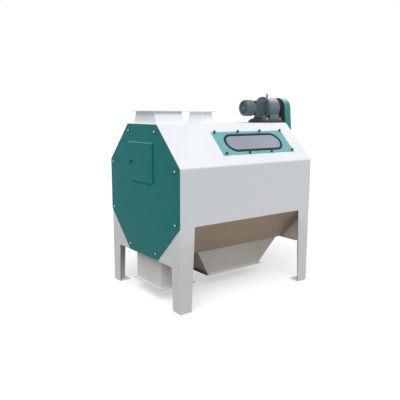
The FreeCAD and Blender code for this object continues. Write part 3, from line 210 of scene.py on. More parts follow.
def resized(piece, wanted, scale, centre, tool=pick):
    """Scale the picked faces, or what another tool picks, about a point."""
    tool(piece, wanted)
    bpy.ops.transform.resize(value=scale, center_override=centre)
    object_mode()


TURNS = {("X", 1): (0, QUARTER, 0), ("X", -1): (0, -QUARTER, 0), ("Y", 1): (-QUARTER, 0, 0),
         ("Y", -1): (QUARTER, 0, 0), ("Z", 1): (0, 0, 0), ("Z", -1): (math.pi, 0, 0)}


def lathe(name, axis, stations, a, b, sides=48, base=0.0):
    """A turned form: a cone between the first two (place, radius) stations, extruded and scaled on to the rest.

    Places are measured from base along the axis, which stands at a, b.
    """
    def at(t):
        return {"X": (t, a, b), "Y": (a, t, b), "Z": (a, b, t)}[axis]
    stations = [(base + t, r) for t, r in stations]
    (t0, r0), (t1, r1) = stations[:2]
    way = 1 if t1 > t0 else -1
    clear()
    bpy.ops.mesh.primitive_cone_add(vertices=sides, radius1=r0, radius2=r1, depth=abs(t1 - t0),
                                    location=at((t0 + t1) / 2), rotation=TURNS[axis, way])
    piece = began(name)
    along = "XYZ".index(axis)
    pick(piece, lambda c, n: n[along] * way > 0.99 and abs(c[along] - t1) < 1e-6)
    t, r = t1, r1
    for t_next, r_next in stations[2:]:
        move = [0, 0, 0]
        move[along] = t_next - t
        bpy.ops.mesh.extrude_region_move(TRANSFORM_OT_translate={"value": move})
        grow = [r_next / r] * 3
        grow[along] = 1
        bpy.ops.transform.resize(value=grow, center_override=at(t_next))
        t, r = t_next, r_next
    object_mode()
    return piece


def modify(piece, kind, **settings):
    """Add one modifier and apply it."""
    only(piece)
    modifier = piece.modifiers.new(kind.title(), kind)
    for key, value in settings.items():
        setattr(modifier, key, value)
    bpy.ops.object.modifier_apply(modifier=modifier.name)
    return piece


def rounded(piece, width, segments=2, angle=30):
    """Ease every edge sharper than the angle."""
    return modify(piece, "BEVEL", width=width, segments=segments, limit_method="ANGLE",
                  angle_limit=math.radians(angle), miter_outer="MITER_ARC")


def thickened(piece, thickness, **settings):
    """Give an open shell its thickness, inwards."""
    return modify(piece, "SOLIDIFY", thickness=thickness, offset=-1, **settings)


def carve(piece, cutter):
    """Cut a hole with another piece, and throw that piece away."""
    modify(piece, "BOOLEAN", operation="DIFFERENCE", solver="EXACT", object=cutter)
    bpy.data.objects.remove(cutter)
    return piece


def bore(piece, x0, x1, radius, sides):
    """Cut a round hole on the gear motor's axis."""
    carve(piece, rod("cutter", x0, x1, radius, MOTOR_Y, MOTOR_Z, sides))


def join(name, pieces):
    """Make one piece of several."""
    only(pieces[0])
    for piece in pieces[1:]:
        piece.select_set(True)
    if len(pieces) > 1:
        bpy.ops.object.join()
    pieces[0].name = name
    pieces[0].data.name = name
    return pieces[0]


def copy_at(piece, move):
    """Another of the same, with its own mesh, moved by a matrix."""
    only(piece)
    bpy.ops.object.duplicate(linked=False)
    other = bpy.context.object
    other.matrix_world = move @ other.matrix_world
    return settle(other)


def placed(piece, matrix):
    """Put a piece where the matrix says, and settle it."""
    piece.matrix_world = matrix
    return settle(piece)


def about(y, z, angle):
    """A turn about a line along X."""
    centre = Vector((0, y, z))
    return Matrix.Translation(centre) @ Matrix.Rotation(angle, 4, "X") @ Matrix.Translation(-centre)


def about_motor(degrees):
    """A turn about the gear motor's own axis."""
    return about(MOTOR_Y, MOTOR_Z, math.radians(degrees))


def ring_of(piece, count):
    """Copies of a piece set round the gear motor's axis."""
    return [piece] + [copy_at(piece, about_motor(360 * i / count)) for i in range(1, count)]


def scattered(first, places, axis, step, begin):
    """A piece and its copies at the other places, each turned a step of degrees further, as by hand."""
    home = Matrix.Translation(-Vector(places[0]))
    return [first] + [copy_at(first, Matrix.Translation(place)
                              @ Matrix.Rotation(math.radians(step * i + begin), 4, axis) @ home)
                      for i, place in enumerate(places[1:])]


def sheet_copy(node, width=0.0012, segments=2, angle=30):
    """A copy of a solid piece with its facets merged and every edge eased as a deburred sheet's is."""
    source = frame["nodes"][node]
    piece = bpy.data.objects.new(node + "_skin", source.data.copy())
    bpy.context.scene.collection.objects.link(piece)
    edit_all(piece)
    bpy.ops.mesh.remove_doubles(threshold=0.00002)
    bpy.ops.mesh.dissolve_limited(angle_limit=math.radians(0.6))
    object_mode()
    return rounded(piece, width, segments, angle) if width else piece


def done(piece, material, slot, *nodes, body="housing", angle=32):
    """Finish a piece: smooth shading, one material, the body it rides on, and the nodes it stands for."""
    settle(piece)
    bpy.ops.object.shade_smooth_by_angle(angle=math.radians(angle))
    modify(piece, "WEIGHTED_NORMAL", keep_sharp=True)
    piece.data.materials.clear()
    piece.data.materials.append(material)
    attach(piece, body)
    if nodes:
        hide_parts(*nodes)
    return piece


def dress(node, material, slot, *ease, body="housing", angle=32):
    """Finish a node's own shape with its edges eased."""
    done(sheet_copy(node, *ease), material, slot, node, body=body, angle=angle)


# Finishes

def tone(colour, factor=1.0):
    """A colour written as it looks on a screen, 0 to 255, made linear as shaders take it, and made darker or paler."""
    def linear(value):
        value = value / 255
        return value / 12.92 if value <= 0.04045 else ((value + 0.055) / 1.055) ** 2.4
    return (*(min(linear(value) * factor, 1) for value in colour), 1.0)


def add_node(tree, kind, output, inputs, **settings):
    """One more node; an input is a value or another node's output. Gives the named output."""
    node = tree.nodes.new("ShaderNode" + kind)
    for key, value in settings.items():
        setattr(node, key, value)
    for key, value in inputs.items():
        if isinstance(value, bpy.types.NodeSocket):
            tree.links.new(value, node.inputs[key])
        else:
            node.inputs[key].default_value = value
    return node.outputs[output]


class Finish:
    """One material, built node by node on Object coordinates."""

    def __init__(self, name, **values):
        self.material = bpy.data.materials.new(name)
        self.material.use_nodes = True
        self.tree = self.material.node_tree
        self.shader = self.tree.nodes["Principled BSDF"]
        self.place = self.add("TexCoord", "Object", {})
        for key, value in values.items():
            self.shader.inputs[key.replace("_", " ")].default_value = value

    def add(self, kind, output, inputs, **settings):
        return add_node(self.tree, kind, output, inputs, **settings)

    def feed(self, socket, output):
        self.tree.links.new(output, self.shader.inputs[socket])

    def stretched(self, scale):
        return self.add("Mapping", "Vector", {"Vector": self.place, "Scale": scale})

    def noise(self, scale, detail=3.0, rough=0.55, vector=None):
        return self.add("TexNoise", "Fac", {"Vector": vector or self.place, "Scale": scale, "Detail": detail,
                                            "Roughness": rough})

    def spread(self, value, low_in, high_in, low_out=0.0, high_out=1.0):
        return self.add("MapRange", "Result", {"Value": value, "From Min": low_in, "From Max": high_in,
                                               "To Min": low_out, "To Max": high_out})

    def patches(self, noise, *span):
        """Noise brought between two values."""
        return self.spread(self.noise(*noise), *span)

    def times(self, a, b):
        return self.add("Math", "Value", {0: a, 1: b}, operation="MULTIPLY")

    def blend(self, factor, first, second):
        return self.add("Mix", "Result", {"Factor": factor, "A": first, "B": second}, data_type="RGBA")

    def shades(self, factor, colour, first, second):
        """Between two shades of one colour."""
        return self.blend(factor, tone(colour, first), tone(colour, second))

    def bump(self, height, strength, distance, below=None):
        inputs = {"Strength": strength, "Distance": distance, "Height": height}
        if below:
            inputs["Normal"] = below
        return self.add("Bump", "Normal", inputs)

    def uneven(self, rough, less, more, *noise):
        """Roughness that wanders from place to place."""
        self.feed("Roughness", self.patches(noise, 0.3, 0.7, rough - less, rough + more))

    def grained(self, strength, distance, *noise, below=None):
        """Fine relief from noise."""
        self.feed("Normal", self.bump(self.noise(*noise), strength, distance, below))

    def along(self, way):
        """Distance along a direction, for colour that changes from one place to another."""
        return self.add("VectorMath", "Value", {0: self.place, 1: way}, operation="DOT_PRODUCT")

    def shifted(self, base, shifts):
        """Other colours along a direction; a shift is that direction, where it begins, where it is full, a colour."""
        for way, begins, full, other in shifts:
            base = self.blend(self.spread(self.along(way), begins, full), base, tone(other))
        return base


UP = (0, 0, 1)


def sheet_paint(name, colour, rough=0.38, dust=0.10, gloss=0.35, peel=0.10, low_browning=0.06, shifts=()):
    """Sprayed enamel on sheet steel: faint cloudiness, orange peel, and a browner tone low on the machine."""
    finish = Finish(name, Specular_IOR_Level=gloss)
    clouds = finish.patches((1.7, 4.0), 0.3, 0.7)
    base = finish.shifted(finish.shades(clouds, colour, 0.965, 1.03), shifts)
    speckle = finish.patches((38, 5.0, 0.7), 0.62, 0.80, 0.0, 0.35)
    # Browner towards the bottom, in patches.
    low = finish.spread(finish.along(UP), 0.66, 0.44)
    browning_mask = finish.times(low, finish.patches((9, 5.0, 0.65), 0.35, 0.75, 0.8, 1.2))
    browned = finish.blend(finish.times(browning_mask, low_browning), base, tone((122, 112, 98)))
    finish.feed("Base Color", finish.blend(finish.times(speckle, dust), browned, tone(colour, 0.80)))
    finish.uneven(rough, 0.06, 0.08, 14, 4.0, 0.6)
    waves = finish.bump(finish.noise(6.5, 2.0, 0.4), peel, 0.0012)
    finish.grained(peel, 0.00025, 520, 2.0, 0.5, below=waves)
    return finish.material


def machine_enamel(name, colour, rough=0.42, sand=0.25, shifts=()):
    """Thick enamel over a sand casting: fine pits under the gloss and oily smudges."""
    finish = Finish(name, Specular_IOR_Level=0.5)
    smudge = finish.patches((17, 5.0, 0.6), 0.35, 0.7)
    finish.feed("Base Color", finish.shifted(finish.shades(smudge, colour, 0.86, 1.08), shifts))
    finish.uneven(rough, 0.08, 0.10, 30, 4.0)
    pits = finish.bump(finish.noise(420, 3.0, 0.6), sand, 0.0005)
    finish.grained(sand, 0.0006, 60, 3.0, 0.5, below=pits)
    return finish.material


def mill_sheet(name, colour, rough=0.34, grain=(2, 240, 240)):
    """Bare rolled steel with a drawn grain and faint handling marks."""
    finish = Finish(name, Metallic=1.0)
    lines = finish.noise(3.0, 4.0, 0.6, finish.stretched(grain))
    finish.feed("Base Color", finish.shades(finish.patches((7, 5.0, 0.7), 0.3, 0.7), colour, 0.82, 1.05))
    finish.feed("Roughness", finish.spread(lines, 0.3, 0.7, rough - 0.08, rough + 0.14))
    finish.feed("Normal", finish.bump(lines, 0.12, 0.0002))
    return finish.material


def galvanised(name, colour):
    """Zinc-coated sheet with its spangle."""
    finish = Finish(name, Metallic=1.0)
    spangle = finish.add("TexVoronoi", "Distance", {"Scale": 70, "Vector": finish.place}, feature="F1")
    patchy = finish.times(finish.spread(spangle, 0.0, 0.8), finish.patches((3,), 0.3, 0.7, 0.3, 1.0))
    finish.feed("Base Color", finish.shades(patchy, colour, 0.78, 1.08))
    finish.feed("Roughness", finish.spread(spangle, 0.0, 0.9, 0.28, 0.5))
    finish.grained(0.08, 0.0002, 260)
    return finish.material


def bright_zinc(name, colour, rough=0.20):
    """Bright plated fastener steel, slightly clouded."""
    finish = Finish(name, Metallic=1.0)
    finish.feed("Base Color", finish.shades(finish.patches((160,), 0.3, 0.7), colour, 0.85, 1.05))
    finish.uneven(rough, 0.06, 0.12, 300, 2.0)
    return finish.material


def rubber(name, colour, rough=0.62):
    """Matt rubber or foam with a pale bloom."""
    finish = Finish(name, Specular_IOR_Level=0.25)
    finish.feed("Base Color", finish.shades(finish.patches((24, 5.0, 0.7), 0.35, 0.75), colour, 1, 1.5))
    finish.uneven(rough, 0.08, 0.1, 80)
    finish.grained(0.15, 0.0002, 700, 2.0)
    return finish.material


def moulded(name, colour, rough=0.45):
    """Spark-textured moulding."""
    finish = Finish(name)
    finish.feed("Base Color", finish.shades(finish.patches((45, 4.0, 0.7), 0.45, 0.8), colour, 1, 1.6))
    finish.uneven(rough, 0.08, 0.12, 120)
    finish.grained(0.2, 0.00025, 900, 2.0)
    return finish.material


def bristle_nylon(name, colour):
    """Nylon tufts with their strands."""
    finish = Finish(name, Roughness=0.55)
    strands = finish.noise(4.0, 3.0, 0.6, finish.stretched((400, 60, 60)))
    finish.feed("Base Color", finish.shades(strands, colour, 0.62, 1.1))
    finish.feed("Normal", finish.bump(strands, 0.6, 0.0008))
    return finish.material


def plain_beech(name, colour):
    """Planed wood with its grain along the bar."""
    finish = Finish(name)
    rings = finish.noise(3.2, 5.0, 0.62, finish.stretched((1.5, 38, 38)))
    finish.feed("Base Color", finish.shades(finish.spread(rings, 0.3, 0.7), colour, 0.72, 1.1))
    finish.feed("Roughness", finish.spread(rings, 0.3, 0.7, 0.5, 0.72))
    finish.feed("Normal", finish.bump(rings, 0.25, 0.0004))
    return finish.material


def clear_sheet(name, colour):
    """Polycarbonate window: tinted by dust on the inside, glossy outside."""
    finish = Finish(name, Roughness=0.10, IOR=1.55, Specular_IOR_Level=0.6)
    finish.feed("Base Color", finish.shades(finish.patches((4.5, 5.0, 0.6), 0.3, 0.75), colour, 0.94, 1.05))
    finish.feed("Alpha", finish.patches((2.6, 4.0, 0.6), 0.3, 0.7, 0.86, 0.95))
    return finish.material


# A shade darker and greyer below the fold, on the sides: painted shade.
HOOD_WITH_SIDE_SHADE = sheet_paint("hood enamel with painted side shade", (238, 239, 241), 0.40, 0.04, 0.25, shifts=[(UP, 1.041, 1.030, (234, 235, 236))])
# The hood's white enamel made paler, so the ducts read as more brightly lit: painted light.
DUCT_PAINTED_LIGHTER = sheet_paint("duct enamel, painted lighter", (246, 246, 247), 0.40, 0.03, 0.25)
# Darker and browner on the hopper's left, downward-facing wall: painted shade.
HOPPER_WITH_SHADE = sheet_paint("hopper enamel with painted shade", (236, 237, 234), 0.42, 0.05, 0.25, low_browning=0.19,
                     shifts=[((1, 0, 0.668), -0.064, -0.068, (166, 160, 144))])
PANEL = sheet_paint("housing enamel", (236, 238, 238), 0.42, 0.05, 0.25, low_browning=0.19)
# The housing's pale enamel darkened and browned on the trough plates: painted shade under the housing.
TROUGH_PAINTED_SHADE = sheet_paint("trough enamel, painted shade", (190, 171, 148), 0.48, 0.16)
GREEN = sheet_paint("end cover enamel", (18, 119, 118), 0.46, 0.015, 0.12, 0.06)
# Pale along the top of the hem: a painted highlight.
DOOR_WITH_HIGHLIGHT = sheet_paint("door enamel with painted highlight", (18, 119, 118), 0.46, 0.015, 0.12, 0.06,
                   shifts=[(UP, 1.1886, 1.1898, (88, 172, 164))])
# Bluer up the cover and pale along its rounded top: painted reflection and painted highlight.
GUARD_WITH_HIGHLIGHT = sheet_paint("guard enamel with painted highlight", (20, 138, 129), 0.34, 0.02, 0.30,
                    shifts=[(UP, 1.39, 1.46, (48, 146, 146)), (UP, 1.500, 1.540, (176, 226, 214))])
TEAL = sheet_paint("window frame enamel", (114, 178, 178), 0.40, 0.02, 0.25)
DARK = machine_enamel("base enamel", (62, 56, 57), 0.45, 0.15)
# Paler where it stands proud of the barrel's front face, on the ledge: a painted highlight.
MOTOR_ENAMEL_WITH_HIGHLIGHT = machine_enamel("motor enamel with painted ledge highlight", (53, 71, 78), 0.42,
                        shifts=[((0, -1, 0), MOTOR_FACE + 0.0004, MOTOR_FACE + 0.0010, (98, 118, 124))])
BELL = machine_enamel("bell enamel", (80, 98, 106), 0.42)
COWL = machine_enamel("cowl enamel", (84, 103, 110), 0.36, 0.10)
# Paler towards the top of the barrel: a painted highlight.
GEARBOX_WITH_TOP_HIGHLIGHT = machine_enamel("gearbox enamel with painted top highlight", (100, 119, 129), 0.40, shifts=[(UP, 1.495, 1.545, (206, 212, 212))])
# Paler above the foot plate, on the saddle: painted light where the cowl shades it.
BASE_ENAMEL_WITH_PAINTED_LIGHT = machine_enamel("gearbox base enamel, saddle painted lighter", (72, 84, 86), 0.48, 0.3,
                             shifts=[(UP, 1.3720, 1.3745, (104, 124, 126))])
SEAL = rubber("glazing rubber", (18, 44, 54))
FOAM = rubber("foam gasket", (34, 34, 36), 0.8)
# Dark teal foam, its colour chosen for the line under the door: painted shadow.
DOOR_FOAM_SHADOW_LINE = rubber("door foam as painted shadow line", (12, 38, 38), 0.8)
KNOB = moulded("knob moulding", (30, 54, 60))
LATCH = moulded("latch moulding", (22, 52, 60))
PANE = clear_sheet("window sheet", (152, 156, 168))
ZINC = bright_zinc("bright zinc", (214, 218, 220))
# A cool tint standing in for what the domes reflect: painted reflection.
NUT_STEEL_PAINTED_REFLECTION = bright_zinc("nut steel tinted as painted reflection", (176, 204, 212), 0.16)
BLACK_STEEL = machine_enamel("blackened steel", (66, 62, 60), 0.38, 0.2)
MILL = mill_sheet("mill sheet", (176, 178, 180))
SPANGLE = galvanised("galvanised screen", (184, 187, 190))
TURNED = mill_sheet("turned steel", (180, 181, 183), 0.26, (240, 2, 2))
OILED = mill_sheet("oiled steel", (118, 114, 110), 0.36, (60, 60, 60))
CASTING = machine_enamel("primed casting", (118, 120, 122), 0.55, 0.35)
NYLON = bristle_nylon("nylon tufts", (208, 196, 160))
BEECH = plain_beech("beech bar", (190, 152, 108))

CARRIED = {
    "housing_paint": PANEL, "hood_paint": HOOD_WITH_SIDE_SHADE, "green_paint": GREEN, "guard_paint": GUARD_WITH_HIGHLIGHT, "teal_paint": TEAL,
    "dark_paint": DARK, "motor_paint": MOTOR_ENAMEL_WITH_HIGHLIGHT, "black_rubber": FOAM, "black_plastic": KNOB, "clear_pane": PANE,
    "bright_fastener": ZINC, "dark_fastener": BLACK_STEEL, "bare_sheet": MILL, "screen_steel": SPANGLE,
    "shaft_steel": TURNED, "bearing_steel": TURNED, "sprocket_steel": OILED, "chain_steel": OILED,
    "grey_casting": CASTING, "nylon_bristle": NYLON, "beech_bar": BEECH,
}


def paint_carried_nodes():
    """Every solid piece that stays in view takes the finish of its slot."""
    slots = {row["node"]: row["material_slot"] for row in frame["record"]["subparts"]}
    for node, piece in frame["nodes"].items():
        piece.data.materials.clear()
        piece.data.materials.append(CARRIED[slots[node]])


# Housing skins

def fold_line(piece, wanted, radius, segments=4):
    """Round the chosen edges as a press brake leaves them."""
    pick_edges(piece, wanted)
    bpy.ops.mesh.bevel(offset=radius, segments=segments, affect="EDGES")
    object_mode()
    return piece


def on_slope(piece):
    """Carry a piece drawn flat, x along the machine and y up the slope, on to the front slope of the hood."""
    return placed(piece, Matrix.Translation((0, -FLAT_HALF, TOP_Z)) @ Matrix.Rotation(QUARTER / 2, 4, "X"))


def long_hole_cutter(length, height, x, y):
    """A round-ended block: a drum pulled apart down its middle."""
    half = (length - height) / 2
    piece = post("cutter", x, y, -OVERRUN, OVERRUN, height / 2, 64)
    for side in (-1, 1):
        moved(piece, lambda p: (p.x - x) * side > 1e-6, (side * half, 0, 0))
    return piece


def folded_hood():
    """Roof, slopes and sides folded from one sheet, with the window, stud, inlet and dust openings."""
    piece = rod("folded_hood", NEAR_X, FAR_X, HALF_WIDTH / math.cos(QUARTER / 4), sides=8, fill="NOTHING")
    placed(piece, about(0, AXIS_Z, QUARTER / 4))
    pick(piece, lambda c, n: c.z < AXIS_Z - 0.3)
    bpy.ops.mesh.delete(type="FACE")
    fold_line(piece, lambda a, b: abs(a.x - b.x) > 1.0 and a.z > AXIS_Z, 0.007)
    point_outward(piece)
    thickened(piece, SHEET, use_even_offset=True)
    carve(piece, on_slope(long_hole_cutter(WINDOW_LENGTH + 0.014, WINDOW_HEIGHT + 0.014, WINDOW_X, WINDOW_FOLD)))
    for x, y in knob_places():
        carve(piece, on_slope(post("cutter", x, y, -OVERRUN, OVERRUN, 0.0045, 16)))
    for node, inset, half in (("feed_inlet", 0.022, 0.140), ("aspiration_outlet", 0.024, 0.090)):
        low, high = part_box(node)
        carve(piece, slab("cutter", low[0] + inset, high[0] - inset, -half, half, TOP_Z - OVERRUN, TOP_Z + OVERRUN))
    return trim_width(rounded(piece, 0.0006, 2, 60))


def point_outward(piece):
    """Point every face of an open shell away from its middle."""
    edit_all(piece)
    bpy.ops.mesh.normals_make_consistent(inside=False)
    object_mode()


def trim_width(piece):
    """Bring edges that the easing pushed out back to the flat sides."""
    for point in piece.data.vertices:
        point.co.y = max(-HALF_WIDTH, min(HALF_WIDTH, point.co.y))
    return piece


def end_frame_skin(node):
    """End plate and legs folded from one sheet, with rounded leg corners."""
    piece = sheet_copy(node, 0)
    outer = (-1 if node.startswith("near") else 1) * FAR_X

    def on_corner(p):
        return abs(p.x - outer) < 1e-4 and abs(abs(p.y) - HALF_WIDTH) < 1e-4

    fold_line(piece, lambda a, b: on_corner(a) and on_corner(b) and abs(a.z - b.z) > 0.3, 0.004, 3)
    return trim_width(rounded(piece, 0.0008, 2, 50))


def build_housing():
    done(folded_hood(), HOOD_WITH_SIDE_SHADE, "hood_paint", "hood_front_panel", "hood_top_panel", "hood_rear_panel",
         "front_side_panel", "rear_side_panel")
    for node in ("near_end_frame", "far_end_frame"):
        done(end_frame_skin(node), PANEL, "housing_paint", node)
    for node in ("front_trough_plate", "rear_trough_plate", "bottom_plate"):
        dress(node, TROUGH_PAINTED_SHADE, "housing_paint", 0.0006, 1)
    dress("foot_plates", PANEL, "housing_paint")


def weld_bead(start, end, radius=0.0022, pitch=0.004):
    """A rippled weld laid along a straight corner."""
    start, end = Vector(start), Vector(end)
    run = end - start
    clear()
    bpy.ops.mesh.primitive_cylinder_add(vertices=8, radius=radius, depth=run.length)
    piece = bpy.context.object
    pick_edges(piece, lambda a, b: abs(a.z - b.z) > 0.9 * run.length)
    bpy.ops.mesh.subdivide(number_cuts=max(2, int(run.length / pitch)))
    object_mode()
    for point in piece.data.vertices:
        swell = 1 + 0.16 * math.cos(2 * math.pi * point.co.z / pitch)
        point.co.x *= swell
        point.co.y *= swell
    return placed(piece, Matrix.Translation((start + end) / 2) @ run.to_track_quat("Z", "Y").to_matrix().to_4x4())


def duct_skin(node, top_mouth):
    """Duct walls and flange with eased edges, and, on all but the inlet, a weld where walls and flange meet."""
    piece = sheet_copy(node, 0.0009)
    if node == "feed_inlet":
        return join(node + "_skin", [piece])
    low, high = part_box(node)
    mouth = high[2] if top_mouth else low[2]
    rim = [v.co for v in piece.data.vertices if abs(v.co.z - mouth) < 0.0002]
    z = mouth + (-0.005 if top_mouth else 0.005)
    reach = 0.0211
    x0, x1 = min(p.x for p in rim) + reach, max(p.x for p in rim) - reach
    y = max(p.y for p in rim) - reach
    beads = [weld_bead((x0, side * y, z), (x1, side * y, z)) for side in (-1, 1)]
    beads += [weld_bead((x, -y, z), (x, y, z)) for x in (x0, x1)]
    return join(node + "_skin", [piece] + beads)


def build_ducts():
    for node, top_mouth, finish in (("feed_inlet", True, DUCT_PAINTED_LIGHTER), ("aspiration_outlet", True, DUCT_PAINTED_LIGHTER),
                                    ("grain_hopper", False, HOPPER_WITH_SHADE), ("trash_chute", False, PANEL)):
        done(duct_skin(node, top_mouth), finish, "housing_paint", node)
    for node in ("feed_chute", "partition_plate"):
        dress(node, MILL, "bare_sheet", 0.0006, 1)


# Fasteners

def hex_head(name, axis, seat, a, b, across, height, washer, way=1, shank=0.0, shank_radius=0.0):
    """Hexagon head with a turned crown, on a washer, and its shank behind."""
    def turned(sides, *stations):
        return lathe(name, axis, stations, a, b, sides)

    radius = across / 2 / math.cos(math.pi / 6)
    start = seat + way * 0.12 * across
    top = start + way * height
    pieces = [turned(24, (seat, washer * 0.96), (seat + way * 0.03 * across, washer),
                     (start - way * 0.02 * across, washer), (start, washer * 0.95)),
              turned(6, (start, radius), (top - way * 0.12 * height, radius), (top, radius * 0.88)),
              turned(24, (top - way * 0.02 * height, radius * 0.80), (top + way * 0.02 * height, radius * 0.78))]
    if shank:
        pieces.append(turned(16, (seat - way * shank, shank_radius * 0.85),
                             (seat - way * shank * 0.95, shank_radius), (seat + way * 0.001, shank_radius)))
    return join(name, pieces)


def cap_nut(y, z):
    """Domed nut over the end of a stud."""
    def turned(sides, *stations):
        return lathe("nut", "X", stations, y, z, sides, COVER_X)

    flats = turned(6, (-0.0017, 0.0098), (-0.0052, 0.0098), (-0.0056, 0.0092))
    dome = turned(28, (-0.0054, 0.0082), (-0.0066, 0.0079), (-0.0077, 0.0067), (-0.0085, 0.0047), (-0.0089, 0.0020))
    stud = turned(16, (0, 0.0059), (0.024, 0.0059), (0.0258, 0.0048))
    return join("cap_nut", [flats, dome, stud])


def dark_washer_as_shade(y, z):
    """Dark sealing washer with a chamfered rim; its dark rubber also serves as painted shade at the foot of the nut."""
    return lathe("washer", "X", [(0, 0.0122), (-0.0003, 0.0126), (-0.0013, 0.0126), (-0.0017, 0.0120)], y, z, 32,
                 COVER_X)


def build_cover():
    dress("end_cover", GREEN, "green_paint", 0.0008)
    places = [(0, a * sa, AXIS_Z + b * sb) for a, b in NUT_PLACES for sa in (-1, 1) for sb in (-1, 1)]
    nuts = scattered(cap_nut(*places[0][1:]), places, "X", 17, 5)
    done(join("cover_cap_nuts", nuts), NUT_STEEL_PAINTED_REFLECTION, "bright_fastener", "end_cover_bolts")
    # Dark sealing washers under the nuts, also serving as painted shade at each nut's foot.
    done(join("cover_washers_as_shade", [dark_washer_as_shade(*place[1:]) for place in places]), FOAM, "black_rubber")
    done(door_leaf(), DOOR_WITH_HIGHLIGHT, "green_paint", "inspection_door", body="door")
    done(door_seal_as_shadow_line(), DOOR_FOAM_SHADOW_LINE, "black_rubber", "door_gasket", body="door")
    build_latch()


def door_leaf():
    """Door plate with rolled outer edges, the latch hole and a hem on top, and hinge straps cut from the solid one."""
    low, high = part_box("door_gasket")
    back, lap = low[0], 0.002
    front, hinge_edge, top = back - 0.0025, low[1] - lap, high[2] + lap
    leaf = slab("door_leaf", front, back, hinge_edge, high[1] + lap, low[2] - lap, top)
    fold_line(leaf, lambda a, b: max(a.x, b.x) < front + 1e-5, 0.0022, 4)
    _, y, z = middle(*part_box("latch_knob"))
    carve(leaf, rod("cutter", front - 0.002, back + 0.002, 0.0052, y, z, 24))
    hem = slab("hem", front - 0.0034, front + 0.0012, hinge_edge, high[1] + lap, top - 0.0090, top)

    def on_hem_face(a, b):
        return max(a.x, b.x) < front - 0.003 and abs(a.y - b.y) > 0.1

    fold_line(hem, lambda a, b: on_hem_face(a, b) and a.z > top - 0.001, 0.0032, 1)
    fold_line(hem, lambda a, b: on_hem_face(a, b) and a.z < top - 0.006, 0.0030, 3)
    straps = sheet_copy("inspection_door", 0)
    pick(straps, lambda c, n: True)
    bpy.ops.mesh.bisect(plane_co=(0, hinge_edge + 0.003, 0), plane_no=(0, 1, 0), use_fill=True, clear_outer=True)
    object_mode()
    return join("door_leaf", [leaf, hem, rounded(straps, 0.0003, 1, 50)])


def door_seal_as_shadow_line():
    """Foam strip behind the door, its lower run pushed down past the plate, where it shows as painted shadow under the
    door.
    """
    seal = sheet_copy("door_gasket", 0.0003, 1)
    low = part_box("door_gasket")[0][2]
    # The lower run pushed down past the plate shows as a dark line: painted shadow under the door.
    moved(seal, lambda p: p.z < low + 0.001, (0, 0, -0.0065))
    return seal


def build_latch():
    """A ten-lobed knob with a moulded cap and pointer rib, and the cam behind it."""
    low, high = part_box("latch_knob")
    _, y, z = middle(low, high)
    face, back = low[0], high[0]
    grip = lathe("latch_grip", "X", [(back, 0.0078), (back - 0.0035, 0.0080), (back - 0.0048, 0.0110),
                                     (face + 0.0026, 0.0120), (face + 0.0009, 0.0110), (face + 0.0004, 0.0072)],
                 y, z, 40)
    for i in range(10):
        angle = math.radians(36 * i)
        carve(grip, rod("cutter", face - 0.002, back - 0.0046, 0.0021, y + 0.0132 * math.cos(angle),
                        z + 0.0132 * math.sin(angle), 16))
    rib = slab("latch_rib", face + 0.0001, face + 0.004, y - 0.0015, y + 0.0015, z - 0.0094, z + 0.0015)
    pieces = [rounded(grip, 0.0004, 2, 40), rounded(rib, 0.0007)]
    done(join("latch_grip", pieces), LATCH, "black_plastic", "latch_knob", body="latch")
    dress("latch_cam", ZINC, "bright_fastener", 0.0006, body="latch")


# Window

def knob_places():
    """Along the machine and up the slope, in two rows of four."""
    return [(WINDOW_X + (i - 1.5) * KNOB_PITCH, WINDOW_FOLD + side * KNOB_ROWS / 2) for i in range(4)
            for side in (-1, 1)]


def clamp_knob(x, y):
    """Fluted hand knob on its boss."""
    boss = lathe("boss", "Z", [(0.0045, 0.0062), (0.0056, 0.0066), (0.0082, 0.0062)], x, y, 28)
    grip = lathe("grip", "Z", [(0.0078, 0.0076), (0.0088, 0.0086), (0.0212, 0.0093), (0.0237, 0.0091),
                               (0.0247, 0.0079), (0.0250, 0.0044)], x, y)
    for i in range(8):
        angle = math.radians(45 * i)
        carve(grip, post("cutter", x + 0.0102 * math.cos(angle), y + 0.0102 * math.sin(angle), 0.007, 0.0228,
                         0.0019, 12))
    return join("clamp_knob", [boss, rounded(grip, 0.0004, 1, 40)])


def build_window():
    dress("window_frame", TEAL, "teal_paint", 0.0009)
    dress("window_pane", PANE, "clear_pane", 0.0006, 2, angle=40)
    seal = sheet_copy("window_seal", 0.0011, 3, 40)
    edit_all(seal)
    bpy.ops.transform.shrink_fatten(value=0.0029)
    done(seal, SEAL, "black_rubber", "window_seal", angle=50)
    places = knob_places()
    knobs = scattered(clamp_knob(*places[0]), [(x, y, 0) for x, y in places], "Z", 11, 11)
    studs = []
    for x, y in places:
        studs.append(lathe("washer", "Z", [(0.0030, 0.0086), (0.0033, 0.0089), (0.0043, 0.0089), (0.0046, 0.0086)],
                           x, y, 28))
        studs.append(lathe("tail", "Z", [(0.0046, 0.0040), (-0.0095, 0.0040), (-0.0105, 0.0032)], x, y, 14))
    done(on_slope(join("window_clamp_knobs", knobs)), KNOB, "black_plastic", "window_knobs")
    done(on_slope(join("window_knob_studs", studs)), ZINC, "bright_fastener")


# Chain guard

def build_guard():
    dress("guard_cover", GUARD_WITH_HIGHLIGHT, "guard_paint", 0.0016, 3, 50, angle=40)
    dress("guard_back_plate", DARK, "dark_paint", 0.0008)
    dress("guard_standoffs", DARK, "dark_paint", 0.0010, angle=40)
    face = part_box("guard_cover")[1][0]
    heads = []
    for low, high in solids_of("guard_bolts"):
        _, y, z = middle(low, high)
        heads.append(hex_head("guard_screw", "X", face, y, z, 0.0125, 0.0032, 0.0105, 1, 0.066, 0.0038))
    done(join("guard_screws", heads), ZINC, "bright_fastener", "guard_bolts")


